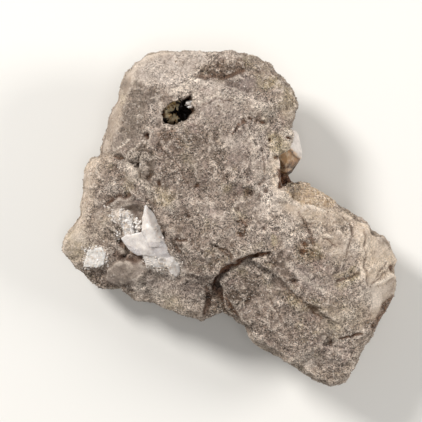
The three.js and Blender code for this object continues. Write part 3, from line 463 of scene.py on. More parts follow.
def move_points(mesh, points):
    mesh.vertices.foreach_set("co", (points * MM).astype(np.float32).ravel())
    mesh.update()


def write_mask(mesh, name, values):
    attribute = mesh.attributes.new(name, "FLOAT", "POINT")
    attribute.data.foreach_set("value", values.astype(np.float32))


def eased(values, edges, rounds):
    """Each vertex drawn half way to the mean of its neighbours, a number of times."""
    a, b = edges[:, 0], edges[:, 1]
    count = len(values)
    degree = np.maximum(np.bincount(a, minlength=count) + np.bincount(b, minlength=count), 1)
    for _ in range(rounds):
        means = [(np.bincount(a, column[b], count) + np.bincount(b, column[a], count)) / degree
                 for column in values.T]
        values = 0.5 * values + 0.5 * np.stack(means, axis=1)
    return values


def unit(vectors):
    return vectors / np.maximum(np.linalg.norm(vectors, axis=1, keepdims=True), 1e-9)


def wave(points, size, seed):
    """Smooth noise with features of a size, from -1 to 1."""
    shifted = points / size + np.array([seed * 7.31, seed * -3.17, seed * 5.53])
    return np.array([noise.noise(p) for p in shifted])


def waves(points, size, seeds):
    """Noise of the same size for each seed, side by side: a way to wander."""
    return np.stack([wave(points, size, seed) for seed in seeds], axis=1)


def dishes(points, size, seed):
    """Shallow fracture dishes that meet in sharp ridges: lowest in a dish, highest on a ridge."""
    rng = np.random.default_rng(seed)
    bent = points + 0.18 * size * waves(points, 0.6 * size, (seed + 31, seed + 37, seed + 41))
    low, high = points.min(0) - size, points.max(0) + size
    counts = np.ceil((high - low) / size).astype(int)
    grid = np.stack(np.meshgrid(*[np.arange(n) for n in counts], indexing="ij"), -1).reshape(-1, 3)
    centres = low + (grid + rng.uniform(0.05, 0.95, grid.shape)) * size
    floors = rng.uniform(0.0, 0.35, len(centres))
    tree = kdtree.KDTree(len(centres))
    for index, centre in enumerate(centres):
        tree.insert(centre, index)
    tree.balance()
    return np.array([
        min((reach / size) ** 2 + floors[index] for _, index, reach in tree.find_n(p, 5)) for p in bent
    ]) - 0.4


def line_distance(flat_points, line, closed=False):
    """Distance from each point to a line of corners, in the plane."""
    corners = np.array(line, float)
    starts = corners if closed else corners[:-1]
    ends = np.roll(corners, -1, axis=0) if closed else corners[1:]
    best = np.full(len(flat_points), 1e9)
    for start, end in zip(starts, ends):
        run = end - start
        t = np.clip(((flat_points - start) @ run) / max(run @ run, 1e-9), 0, 1)
        off = flat_points - (start + t[:, None] * run)
        best = np.minimum(best, np.hypot(off[:, 0], off[:, 1]))
    return best


def ring_distance(flat_points, corners):
    """Distance to a closed line of corners, less than 0 inside it."""
    off = line_distance(flat_points, corners, closed=True)
    ring = np.array(corners, float)
    x, y = flat_points.T
    inside = np.zeros(len(flat_points), bool)
    for (x0, y0), (x1, y1) in zip(ring, np.roll(ring, -1, axis=0)):
        crosses = (y0 > y) != (y1 > y)
        at = x0 + (y - y0) * (x1 - x0) / (y1 - y0 if y1 != y0 else 1e-9)
        inside ^= crosses & (x < at)
    return np.where(inside, -off, off)


def patch(flat_points, corners, softness):
    """1 inside the corners, 0 outside, with a soft edge."""
    return 1.0 - smooth_step(-softness, softness, ring_distance(flat_points, corners))


def near_line(flat_points, line, width):
    """1 on a line, falling off over its width."""
    return np.exp(-((line_distance(flat_points, line) / (0.5 * width)) ** 2))


def near_spot(flat_points, x, y, radius):
    """1 at a spot, falling off over its radius."""
    off = np.hypot(flat_points[:, 0] - x, flat_points[:, 1] - y) / radius
    return np.exp(-(off**2))


def within(points, hollow, full, none):
    """1 in a rounded hollow of a middle and three radii, fading from one share of them to another."""
    middle, radii = hollow
    share = np.linalg.norm((points - np.array(middle)) / np.array(radii), axis=1)
    return 1.0 - smooth_step(full, none, share)


def mesh_from(bm, name):
    mesh = bpy.data.meshes.new(name)
    bm.to_mesh(mesh)
    bm.free()
    return mesh


def copy_of_nodes(name, nodes):
    """One mesh of several CAD nodes, with their loose triangles joined up."""
    bm = bmesh.new()
    for node in nodes:
        bm.from_mesh(NODES[node].data)
    bmesh.ops.remove_doubles(bm, verts=bm.verts, dist=0.00001)
    mesh = mesh_from(bm, name)
    mesh.materials.clear()
    return mesh


def shown(name, data):
    piece = bpy.data.objects.new(name, data)
    bpy.context.scene.collection.objects.link(piece)
    return piece


def baked(piece, name):
    """The piece's modifiers turned into a plain mesh of its own."""
    view = bpy.context.evaluated_depsgraph_get()
    mesh = bpy.data.meshes.new_from_object(
        piece.evaluated_get(view), preserve_all_data_layers=True, depsgraph=view
    )
    mesh.name = name
    piece.modifiers.clear()
    bpy.data.objects.remove(piece)
    return mesh


def even_grid(carrier, voxel):
    """Rebuild the carrier's surface, closed, on an even grid."""
    grid = carrier.modifiers.new("grid", "REMESH")
    grid.mode = "VOXEL"
    grid.voxel_size = voxel * MM
    return grid


def rebuilt(mesh, voxel):
    """The closed surface of a mesh on an even grid."""
    carrier = shown("carrier", mesh)
    even_grid(carrier, voxel).use_smooth_shade = True
    return baked(carrier, mesh.name)


def thinned(mesh, triangles):
    """The mesh with fewer, larger faces where it faces down or lies on the table."""
    carrier = shown("carrier", mesh)
    low = points_of(mesh)[:, 2] < 2.0 * RESTING
    share = np.where(low, 1.0, smooth_step(0.05, -0.5, normals_of(mesh)[:, 2]))
    thin = carrier.vertex_groups.new(name="thin")
    for level in (0.1, 0.4, 0.7, 1.0):
        picked = np.nonzero((share > level - 0.3) & (share <= level))[0]
        thin.add([int(i) for i in picked], level, "REPLACE")
    fewer = carrier.modifiers.new("fewer", "DECIMATE")
    fewer.vertex_group = "thin"
    fewer.ratio = triangles / sum(len(f.vertices) - 2 for f in mesh.polygons)
    return baked(carrier, mesh.name)


def finish_piece(name, mesh, node, material, sharp=None):
    """A mesh put in the scene with its finish; sharp is the angle, in degrees, kept as an edge."""
    piece = shown(name, mesh)
    mesh.materials.clear()
    mesh.materials.append(material)
    for polygon in mesh.polygons:
        polygon.use_smooth = True
    if sharp is not None:
        mesh.set_sharp_from_angle(angle=math.radians(sharp))
    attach(piece, "root")
    if node:
        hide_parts(node)


# ---------------------------------------------------------------- the stone


def stone_relief(points, calm):
    """How far the broken surface stands in or out, in mm."""
    height = np.zeros(len(points))
    for size, reach, seed in DISHES:
        height += reach * dishes(points, size, seed)
    for size, reach, seed in WAVES:
        height += reach * wave(points, size, seed)
    for size, reach, seed in CRESTS:
        height += reach * (0.5 - 2.0 * np.abs(wave(points, size, seed)))
    return height * (1.0 - CALM_LOSS * calm) - RELIEF_DROP


def carved(points, facing_up):
    """Grooves, ridges and pits of the upper side: heights in mm and the dirt and painted shade in them."""
    shifted = points[:, :2] + GROOVE_STRAY * waves(points, 2.4, (31, 37))
    uneven = 0.78 + 0.3 * wave(points, 3.4, 41)
    height = np.zeros(len(points))
    dirt = np.zeros(len(points))
    for line, width, depth, brown in GROOVES.values():
        near = near_line(shifted, line, width) * facing_up
        height -= depth * near * uneven
        dirt = np.maximum(dirt, brown * smooth_step(0.12, 0.75, near))
    for line, width, reach in RIDGES.values():
        near = near_line(shifted, line, width) * facing_up
        height += reach * near * uneven
    for x, y, radius, reach in FILLS:
        height += reach * near_spot(shifted, x, y, radius) * facing_up
    for x, y, radius, depth, brown in PITS:
        near = near_spot(shifted, x, y, radius) * facing_up
        height -= depth * near
        dirt = np.maximum(dirt, brown * smooth_step(0.25, 0.85, near))
    return height, dirt


def finish_masks(points, facing_up):
    """How strongly each finish lies on the stone, painted light and shade among them; light runs from -1 to
    1, the others from 0.
    """
    flat = points[:, :2]
    wander = waves(points, 4.2, (51, 57))
    fray = waves(points, 1.3, (61, 67))
    shifted = flat + PATCH_STRAY[0] * wander + PATCH_STRAY[1] * fray
    broken = np.clip(0.9 + 0.35 * wave(points, 2.8, 71), 0, 1.2)
    masks = {}
    for name, patches in PATCHES.items():
        masks[name] = np.zeros(len(points))
        for strength, softness, corners in patches:
            here = strength * patch(shifted, corners, softness) * facing_up
            if name != "smooth":
                here = here * broken
            masks[name] = np.maximum(masks[name], here)

    # The sides and the underside are plain broken rock, with broad drifts of a few finishes and an even
    # painted shade.
    away = 1.0 - facing_up
    drifts = {
        "cream": np.clip(0.42 + 0.5 * wave(points, 15.0, 81), 0, 0.85),
        "stain": np.clip(0.1 - 0.55 * wave(points, 10.0, 83), 0, 0.6),
        "shade": 0.4,
        "olive": np.clip(0.5 * wave(points, 12.0, 87), 0, 0.4),
    }
    for name, share in drifts.items():
        masks[name] = np.maximum(masks[name], away * share)

    drawn = flat + VEIN_AND_HIGHLIGHT_STRAY[0] * wander + VEIN_AND_HIGHLIGHT_STRAY[1] * fray
    masks["vein"] = np.zeros(len(points))
    for line, width, strength in VEINS_AND_HIGHLIGHTS:
        masks["vein"] = np.maximum(masks["vein"], strength * (near_line(drawn, line, width) * facing_up))
    shades = np.zeros(len(points))
    for x, y, radius, amount in SHADES:
        shades += amount * near_spot(shifted, x, y, radius) * facing_up
    masks["light"] = np.clip(shades, -1, 1)
    calm = wave(points, 5.0, 111) + 0.5 * wave(points, 2.0, 113)
    masks["calm"] = smooth_step(0.06, 0.32, calm) * facing_up
    return masks


def ragged_mouth(points):
    """The stone round the vug's mouth drawn in or out to its ragged outline."""
    flat = points[:, :2]
    off = ring_distance(flat, VUG_MOUTH) + 0.3 * wave(points, 0.9, 97)
    outward = unit(flat - np.array(VUG_MIDDLE))
    near = np.exp(-((off / VUG_RIM_REACH) ** 2)) * smooth_step(*VUG_RIM, points[:, 2])
    moved = points.copy()
    moved[:, :2] -= outward * (off * near)[:, None]
    return moved


def matrix_stone():
    """The whole stone, rebuilt from the CAD solids, worn, broken and carved, with its masks."""
    joined = copy_of_nodes("matrix_stone", ["matrix", "quartz_blades", "corner_quartz"])
    mesh = thinned(rebuilt(joined, VOXEL), STONE_TRIANGLES)
    edges = edges_of(mesh)
    raw = points_of(mesh)
    points = ragged_mouth(eased(raw, edges, SETTLE_ROUNDS))
    move_points(mesh, points)
    normals = unit(eased(normals_of(mesh), edges, 3))
    facing_up = smooth_step(-0.15, 0.35, normals[:, 2]) * smooth_step(*UPPER_SIDE, points[:, 2])
    masks = finish_masks(points, facing_up)

    cad = bmesh.new()
    cad.from_mesh(NODES["matrix"].data)
    skin = BVHTree.FromBMesh(cad)
    from_skin = np.array([skin.find_nearest(p)[3] for p in raw * MM]) / MM
    cad.free()
    under_crystal = smooth_step(*OFF_THE_STONE, from_skin)

    cut, dirt = carved(points, facing_up)
    calm = np.maximum(masks["smooth"], 0.55 * masks["cream"])
    height = (stone_relief(points, calm) + cut) * smooth_step(0.0, RELIEF_FADE, points[:, 2])
    height = height * (1.0 - under_crystal) - CRYSTAL_SINK * under_crystal
    points = points + normals * height[:, None]
    points[:, 2] = np.maximum(points[:, 2], 0.0)
    points[raw[:, 2] < RESTING, 2] = 0.0
    move_points(mesh, points)

    final = normals_of(mesh)
    # How hollow or raised each place is, for the painted shade in hollows and the painted highlights on
    # crests.
    hollow = sum(
        share * (np.einsum("ij,ij->i", eased(points, edges, rounds) - points, final) / deep)
        for rounds, deep, share in HOLLOW_SCALES
    )
    up = points[:, 2]
    # The pocket and the vug are painted dark with stain, dirt and shade: partly their own iron stain,
    # partly a painted shade for their depth.
    pocket = within(points, POCKET, 0.75, 1.25) * (1.0 - smooth_step(*POCKET_TOP, up))
    mouth = patch(points[:, :2], VUG_MOUTH, 0.2)
    vug = within(points, VUG, 0.98, 1.16)
    vug *= np.maximum(smooth_step(*VUG_TOP, up), mouth * smooth_step(*MOUTH_TOP, up))
    masks["cream"] *= 1.0 - pocket
    masks["stain"] = np.max([masks["stain"], pocket, vug], axis=0)
    masks["dirt"] = np.max([masks["dirt"], dirt, vug, 0.95 * pocket], axis=0)
    masks["hollow"] = np.clip(hollow, -1, 1)
    for name, values in masks.items():
        write_mask(mesh, name, values)
    return mesh


# ---------------------------------------------------------------- finishes


def colour(red, green, blue):
    """A colour given from 0 to 255 as a screen shows it."""
    def linear(value):
        c = value / 255.0
        return c / 12.92 if c <= 0.04045 else ((c + 0.055) / 1.055) ** 2.4
    return (linear(red), linear(green), linear(blue), 1.0)


class Wiring:
    """Short ways to place and join nodes in a tree."""

    def __init__(self, tree):
        self.tree = tree

    def add(self, kind, inputs=None, **settings):
        node = self.tree.nodes.new(kind)
        for name, value in settings.items():
            setattr(node, name, value)
        for name, value in (inputs or {}).items():
            self.feed(node.inputs[name], value)
        return node

    def feed(self, socket, value):
        if isinstance(value, bpy.types.NodeSocket):
            self.tree.links.new(value, socket)
        else:
            socket.default_value = value

    def math(self, operation, a, b):
        return self.add("ShaderNodeMath", {0: a, 1: b}, operation=operation).outputs[0]

    def times(self, a, b):
        return self.math("MULTIPLY", a, b)

    def swing(self, value, middle, reach):
        """How far a value lies from a middle, made larger or smaller."""
        return self.times(self.math("SUBTRACT", value, middle), reach)

    def mix(self, share, a, b, blend="MIX"):
        node = self.add("ShaderNodeMix", data_type="RGBA", blend_type=blend, clamp_factor=True)
        self.feed(node.inputs[0], share)
        self.feed(node.inputs[6], a)
        self.feed(node.inputs[7], b)
        return node.outputs[2]

    def coats(self, body, rows):
        """Colours laid over a body colour one after another, each by its own share."""
        for share, tint in rows:
            body = self.mix(share, body, colour(*tint))
        return body

    def ramp(self, value, low, high, to_low=0.0, to_high=1.0):
        node = self.add(
            "ShaderNodeMapRange",
            {"Value": value, "From Min": low, "From Max": high, "To Min": to_low, "To Max": to_high},
            interpolation_type="SMOOTHSTEP",
        )
        return node.outputs["Result"]

    def mask(self, name):
        return self.add("ShaderNodeAttribute", attribute_name=name).outputs["Fac"]

    def part(self, name, strength):
        """A mask made weaker."""
        return self.times(self.mask(name), strength)

    def in_mm(self, stretch=(1, 1, 1)):
        place = self.add("ShaderNodeTexCoord").outputs["Object"]
        scale = tuple(1.0 / MM * s for s in stretch)
        return self.add("ShaderNodeMapping", {"Vector": place, "Scale": scale}).outputs["Vector"]

    def sized(self, size):
        """Places in mm for features that grow with a size."""
        node = self.add("ShaderNodeVectorMath", {0: self.in_mm()}, operation="SCALE")
        self.feed(node.inputs["Scale"], self.math("DIVIDE", 1.0, size))
        return node.outputs[0]

    def axes(self, place):
        return self.add("ShaderNodeSeparateXYZ", {0: place}).outputs

    def noise(self, place, scale, detail, roughness, seed):
        node = self.add(
            "ShaderNodeTexNoise",
            {"Vector": place, "W": seed, "Scale": scale, "Detail": detail, "Roughness": roughness},
            noise_dimensions="4D",
        )
        return node.outputs["Fac"]

    def flecks(self, place, cloud, span):
        """Noise cut into flecks: its scale, detail, roughness and seed, then the ramp's bounds."""
        return self.ramp(self.noise(place, *cloud), *span)

    def flecked(self, name, place, cloud, span):
        """A mask broken up by flecks."""
        return self.times(self.mask(name), self.flecks(place, cloud, span))

    def cells(self, place, scale):
        return self.add("ShaderNodeTexVoronoi", {"Vector": place, "Scale": scale}).outputs

    def one_of(self, tint, channel):
        """One channel of a colour."""
        return self.add("ShaderNodeSeparateColor", {"Color": tint}).outputs[channel]


class Finish(Wiring):
    """A material of one shader, with short ways to set its looks."""

    def __init__(self, name):
        self.material = bpy.data.materials.new(name)
        self.material.use_nodes = True
        super().__init__(self.material.node_tree)
        self.tree.nodes.clear()
        self.shader = self.add("ShaderNodeBsdfPrincipled")
        self.out = self.add("ShaderNodeOutputMaterial", {"Surface": self.shader.outputs[0]})

    def set(self, **looks):
        """Settings of the shader, with _ for each space in their names."""
        for name, value in looks.items():
            self.feed(self.shader.inputs[name.replace("_", " ")], value)

    def lets_light_in(self, weight, reach):
        """Light goes under the surface by some mm and comes out again nearby."""
        self.set(Subsurface_Weight=weight, Subsurface_Radius=MILKY_SPREAD, Subsurface_Scale=reach * MM)

    def bump(self, strength, distance, height):
        node = self.add("ShaderNodeBump",
                        {"Strength": strength, "Distance": distance * MM, "Height": height})
        self.set(Normal=node.outputs["Normal"])


def group(name, inputs, outputs):
    """A shader node group with named sockets; colours are 4-tuples, the rest are numbers."""
    tree = bpy.data.node_groups.new(name, "ShaderNodeTree")
    for label, value in inputs.items():
        kind = "NodeSocketColor" if isinstance(value, tuple) else "NodeSocketFloat"
        tree.interface.new_socket(label, in_out="INPUT", socket_type=kind).default_value = value
    for label, kind in outputs.items():
        tree.interface.new_socket(label, in_out="OUTPUT", socket_type=kind)
    into = tree.nodes.new("NodeGroupInput")
    out = tree.nodes.new("NodeGroupOutput")
    return Wiring(tree), into.outputs, out.inputs


def sugary_grain_group():
    """Interlocking crystals of dolomite, 0.3 to 0.8 mm across, with small dark pores."""
    w, into, out = group(
        "sugary grain",
        {"Colour": (0.3, 0.25, 0.2, 1.0), "Pore colour": (0.05, 0.03, 0.02, 1.0), "Contrast": 0.5,
         "Pores": 0.5, "Size": 1.0},
        {"Colour": "NodeSocketColor", "Height": "NodeSocketFloat"},
    )
    place = w.sized(into["Size"])
    small = w.cells(place, 3.0)
    large = w.cells(place, 1.3)
    small_tone = w.one_of(small["Color"], 0)
    large_tone = w.one_of(large["Color"], 1)
    cloud = w.noise(place, 0.7, 5.0, 0.7, 1.3)
    fine = w.noise(place, 3.2, 3.0, 0.7, 4.1)
    tone = w.swing(small_tone, 0.46, 1.35)
    for value, reach in ((large_tone, 0.25), (cloud, 0.6), (fine, 2.8)):
        tone = w.math("ADD", tone, w.swing(value, 0.5, reach))
    factor = w.math("MAXIMUM", w.math("ADD", 1.0, w.times(tone, into["Contrast"])), 0.18)
    grey = w.add("ShaderNodeCombineColor", {0: factor, 1: factor, 2: factor}).outputs[0]
    body = w.mix(1.0, into["Colour"], grey, "MULTIPLY")
    open_pore = w.times(w.flecks(place, (1.9, 4.0, 0.66, 9.7), (0.43, 0.34)), into["Pores"])
    w.feed(out["Colour"], w.mix(open_pore, body, into["Pore colour"]))
    height = w.times(small["Distance"], -0.8)
    for value, reach in ((small_tone, 0.5), (cloud, 0.8), (fine, 0.5), (open_pore, -0.8)):
        height = w.math("ADD", height, w.times(value, reach))
    w.feed(out["Height"], height)
    return w.tree


def rock_dust_group():
    """Pale dust in drifts over a crystal or a stone."""
    w, into, out = group(
        "rock dust",
        {"Colour": (0.5, 0.5, 0.5, 1.0), "Dust": (0.42, 0.36, 0.3, 1.0), "Amount": 0.3, "Size": 1.0},
        {"Colour": "NodeSocketColor", "Cover": "NodeSocketFloat"},
    )
    drift = w.flecks(w.sized(into["Size"]), (0.5, 5.0, 0.62, 2.2), (0.42, 0.66))
    cover = w.times(drift, into["Amount"])
    w.feed(out["Colour"], w.mix(cover, into["Colour"], into["Dust"]))
    w.feed(out["Cover"], cover)
    return w.tree


def dolostone(name, grain):
    """Grey-brown sugary dolostone with a cream rind, smooth clay faces, stains and dirt, and painted light
    and shade.
    """
    w = Finish(name)
    place = w.in_mm()
    mottle = w.noise(place, 0.3, 3.0, 0.5, 3.3)
    mottled = w.ramp(mottle, 0.3, 0.7)
    pale = w.mix(mottled, colour(210, 198, 188), colour(186, 172, 160))
    cream = w.mix(mottled, colour(211, 195, 177), colour(194, 175, 154))
    body = w.mix(w.flecks(place, BROAD_CLOUD, (0.34, 0.66)), colour(132, 117, 105), colour(150, 135, 123))
    body = w.coats(body, (
        (w.ramp(mottle, 0.36, 0.66, 0.0, 0.5), (125, 108, 95)),
        (w.flecks(place, (0.2, 3.0, 0.5, 12.0), (0.54, 0.72, 0.0, 0.45)), (158, 146, 118)),
        (w.flecks(place, (0.24, 3.0, 0.5, 15.0), (0.54, 0.72, 0.0, 0.4)), (150, 126, 120)),
    ))
    body = w.mix(w.mask("pale"), body, pale)
    body = w.mix(w.mask("cream"), body, cream)

    clay = w.times(w.mask("smooth"), w.ramp(w.mask("cream"), 0.0, 0.5, 0.6, 0.0))
    turned = w.add("ShaderNodeMapping", {"Vector": place, "Rotation": (0.0, 0.0, PARTING_TURN)})
    drawn = w.add("ShaderNodeMapping", {"Vector": turned.outputs["Vector"], "Scale": (0.2, 1.0, 0.5)})
    streak = w.noise(drawn.outputs["Vector"], 0.8, 4.0, 0.62, 47.0)
    light = w.mask("light")
    frost = w.times(w.flecks(place, (1.1, 4.0, 0.75, 31.0), (0.56, 0.66, 0.0, 0.6)),
                    w.flecks(place, (0.17, 2.0, 0.5, 35.0), (0.5, 0.62)))
    rust = w.times(w.flecks(place, (1.3, 3.0, 0.7, 33.0), (0.57, 0.66, 0.0, 0.75)),
                   w.flecks(place, (0.15, 2.0, 0.5, 38.0), (0.52, 0.62)))
    hollow = w.mask("hollow")
    body = w.coats(body, (
        (w.part("shade", 0.8), SHADED),
        (clay, (132, 120, 110)),
        (w.part("lilac", 0.9), (128, 113, 108)),
        (w.part("olive", 0.75), OLIVE),
        (w.part("amber", 0.85), AMBER),
        (w.ramp(streak, 0.53, 0.68, 0.0, 0.4), (188, 174, 163)),
        (w.ramp(streak, 0.46, 0.32, 0.0, 0.4), (98, 82, 70)),
        # Painted light and painted shade.
        (w.ramp(light, 0.0, 0.8, 0.0, 0.72), LIGHTER),
        (w.ramp(light, 0.0, -0.8, 0.0, 0.85), DARKER),
        (w.part("calm", 0.14), (160, 146, 137)),
        (frost, (228, 219, 210)),
        (rust, (98, 72, 46)),
        (w.flecked("rust", place, (0.9, 4.0, 0.75, 44.0), (0.44, 0.56, 0.2, 1.0)), (106, 74, 44)),
        # Veins, and painted highlights on ridges.
        (w.mask("vein"), (214, 201, 186)),
        (w.flecked("white", place, (0.7, 4.0, 0.7, 41.0), (0.4, 0.54, 0.25, 1.0)), WHITE),
        # Stains, and painted shade in the pocket and the vug.
        (w.flecked("stain", place, (0.8, 3.0, 0.6, 6.1), (0.34, 0.6, 0.35, 1.0)), (84, 64, 47)),
        # Painted shade in the hollows and painted highlights on the crests.
        (w.ramp(hollow, 0.2, 1.0, 0.0, 0.55), (76, 58, 46)),
        (w.ramp(hollow, -0.1, -0.8, 0.0, 0.4), (214, 200, 186)),
        # Dirt and painted shade in cracks, pits and hollows; past 1 a painted black shadow deep in the
        # pits.
        (w.part("dirt", 0.93), (80, 50, 30)),
        (w.ramp(w.mask("dirt"), 1.0, 1.5), (26, 16, 10)),
    ))

    rough = 1.0
    for mask, strength in (("smooth", 0.72), ("calm", 0.42), ("cream", 0.6)):
        rough = w.times(rough, w.math("SUBTRACT", 1.0, w.part(mask, strength)))
    busy = w.math("ADD", rough, w.part("stain", 0.5))
    sugar = w.add("ShaderNodeGroup", {
        "Colour": body, "Pore colour": colour(70, 52, 40), "Contrast": w.times(busy, 1.2),
        "Pores": w.times(busy, 0.4), "Size": 1.0,
    }, node_tree=grain).outputs
    w.set(Base_Color=sugar["Colour"], Roughness=w.ramp(mottle, 0.3, 0.7, 0.92, 0.72),
          Specular_IOR_Level=0.35)
    w.bump(0.85, 0.42, w.times(sugar["Height"], rough))
    return w.material


def milky_quartz(name, dust, clearer, whiter):
    """Milky quartz: lilac-grey where it is clearer, white where it is bruised, and dusty, with painted
    shade in its hollows and painted highlights on its edges.
    """
    w = Finish(name)
    place = w.in_mm()
    cloud = w.noise(place, 0.45, 4.0, 0.6, 1.1)
    frost = w.noise(place, 1.8, 4.0, 0.7, 5.2)
    whiteness = w.math("ADD", w.mask("tone"), w.swing(cloud, 0.5, 0.9))
    hollow = w.mask("hollow")
    body = w.mix(w.ramp(whiteness, 0.1, 0.95), colour(*clearer), colour(*whiter))
    body = w.coats(body, (
        (w.ramp(frost, 0.52, 0.7, 0.0, 0.7), (238, 232, 227)),
        (w.ramp(frost, 0.44, 0.3, 0.0, 0.45), (172, 158, 150)),
        # Painted highlights on the edges and painted shade in the hollows.
        (w.ramp(hollow, -0.1, -0.7, 0.0, 0.6), (240, 234, 229)),
        (w.ramp(hollow, 0.15, 0.9, 0.0, 0.45), (164, 150, 140)),
    ))
    dusty = w.add("ShaderNodeGroup", {"Colour": body, "Dust": colour(178, 163, 150), "Amount": 0.22,
                                      "Size": 1.2}, node_tree=dust)
    w.set(Base_Color=dusty.outputs["Colour"], Roughness=w.ramp(frost, 0.3, 0.7, 0.2, 0.5), IOR=QUARTZ_IOR)
    w.lets_light_in(0.65, 2.0)
    lines = w.noise(w.in_mm((0.35, 0.35, 2.4)), 1.4, 2.0, 0.5, 7.0)
    w.bump(0.5, 0.12, w.math("ADD", w.times(frost, 0.6), w.times(lines, 0.5)))
    return w.material


def milky_druse(name):
    """Small white crystals, cream where they are dusty."""
    w = Finish(name)
    drift = w.noise(w.in_mm(), 0.5, 4.0, 0.6, 6.0)
    tone = w.mask("tone")
    body = w.mix(w.ramp(drift, 0.4, 0.62), colour(214, 198, 182), colour(232, 225, 219))
    body = w.coats(body, (
        (w.ramp(tone, 0.45, 0.0, 0.0, 0.75), (150, 132, 116)),
        (w.ramp(tone, 0.6, 1.0, 0.0, 0.8), (246, 242, 238)),
    ))
    w.set(Base_Color=body, Roughness=w.ramp(drift, 0.3, 0.7, 0.25, 0.5))
    w.lets_light_in(0.3, 0.6)
    return w.material


def loose_sugar(name):
    """The stone's own grains where they stand clear: each has its own tone."""
    w = Finish(name)
    tone = w.mask("tone")
    light = w.mask("light")
    body = w.mix(w.flecks(w.in_mm(), BROAD_CLOUD, (0.34, 0.66)), colour(131, 117, 106),
                 colour(154, 140, 129))
    body = w.coats(body, (
        (w.mask("pale"), (196, 184, 174)),
        (w.mask("cream"), (208, 190, 171)),
        (w.part("olive", 0.75), OLIVE),
        (w.part("amber", 0.85), AMBER),
        # Veins, and painted highlights on ridges.
        (w.mask("vein"), (205, 190, 172)),
        (w.part("shade", 0.8), SHADED),
        # Painted light and painted shade.
        (w.ramp(light, 0.0, 0.8, 0.0, 0.65), LIGHTER),
        (w.ramp(light, 0.0, -0.8, 0.0, 0.8), DARKER),
        (w.mask("white"), WHITE),
        # Stains, and painted shade in the pocket and the vug.
        (w.part("stain", 0.8), (92, 72, 54)),
        # Dirt and painted shade, as on the stone.
        (w.mask("dirt"), (60, 40, 26)),
        (w.ramp(tone, 0.5, 0.0, 0.0, 0.75), (76, 64, 54)),
        (w.ramp(tone, 0.55, 1.0, 0.0, 0.65), (214, 204, 193)),
    ))
    w.set(Base_Color=body, Roughness=w.ramp(tone, 0.0, 1.0, 0.62, 0.34))
    return w.material


def dolomite_rhombs(name):
    """Tan dolomite rhombs of the ledge, glassy on their faces."""
    w = Finish(name)
    tone = w.mask("tone")
    body = w.mix(w.flecks(w.in_mm(), (0.3, 4.0, 0.6, 5.0), (0.36, 0.64)), colour(204, 184, 158),
                 colour(180, 157, 129))
    body = w.coats(body, (
        (w.ramp(tone, 0.35, 0.0, 0.0, 0.7), (126, 103, 80)),
        (w.ramp(tone, 0.6, 1.0, 0.0, 0.7), (226, 212, 193)),
    ))
    w.set(Base_Color=body, Roughness=w.ramp(tone, 0.0, 1.0, 0.5, 0.28))
    return w.material


def vug_coat_and_shade(name, dust):
    """Iron and bitumen on the vug's wall, darkened near to black: partly their own colour, partly a painted
    shade for the depth of the vug.
    """
    w = Finish(name)
    patchy = w.noise(w.in_mm(), 0.7, 4.0, 0.6, 3.0)
    body = w.mix(w.ramp(patchy, 0.35, 0.65), colour(14, 8, 5), colour(28, 17, 10))
    dusty = w.add("ShaderNodeGroup", {"Colour": body, "Dust": colour(54, 37, 23), "Amount": 0.45,
                                      "Size": 0.7}, node_tree=dust)
    w.set(Base_Color=dusty.outputs["Colour"], Roughness=w.ramp(patchy, 0.3, 0.7, 0.3, 0.65))
    w.bump(0.5, 0.15, patchy)
    return w.material


def honey_quartz(name):
    """Honey-coloured druse, greener and darker towards the top and browner at its foot."""
    w = Finish(name)
    place = w.in_mm()
    axes = w.axes(place)
    patchy = w.noise(place, 0.6, 4.0, 0.6, 3.6)
    body = w.mix(w.ramp(patchy, 0.4, 0.6), colour(255, 218, 160), colour(255, 240, 204))
    body = w.coats(body, (
        (w.ramp(patchy, 0.48, 0.42, 0.0, 0.8), (104, 66, 34)),
        (w.ramp(axes["Y"], 33.0, 34.6, 0.0, 0.6), (180, 152, 96)),
        (w.ramp(axes["Y"], 29.6, 28.4, 0.0, 0.75), (116, 84, 52)),
        (w.ramp(axes["X"], -18.6, -19.6, 0.0, 0.9), (84, 48, 28)),
        (w.ramp(w.mask("tone"), 0.3, 0.15, 0.0, 0.7), (120, 84, 50)),
    ))
    w.set(Base_Color=body, Roughness=w.ramp(patchy, 0.3, 0.7, 0.2, 0.4))
    w.lets_light_in(0.1, 0.4)
    return w.material


def cloudy_inside_and_reflection(name):
    """Milky quartz full of healed fractures, inside the clear crystal; its white is partly a painted
    reflection of the light on the upper face.
    """
    w = Finish(name)
    place = w.in_mm()
    axes = w.axes(place)
    cloud = w.noise(place, 0.8, 4.0, 0.62, 2.7)
    along = w.math("ADD", w.times(axes["X"], TO_MILKY[0]), w.times(axes["Y"], TO_MILKY[1]))
    past_edge = w.math("ADD", w.math("SUBTRACT", along, MILKY_FROM), w.swing(cloud, 0.5, 3.0))
    body = w.mix(w.ramp(cloud, 0.35, 0.65), colour(214, 206, 200), colour(192, 184, 178))
    body = w.mix(w.ramp(past_edge, 1.5, 0.0, 0.0, 0.9), body, colour(196, 160, 122))
    w.set(Base_Color=body, Roughness=w.ramp(cloud, 0.3, 0.7, 0.35, 0.6))
    w.lets_light_in(0.5, 2.0)
    return w.material


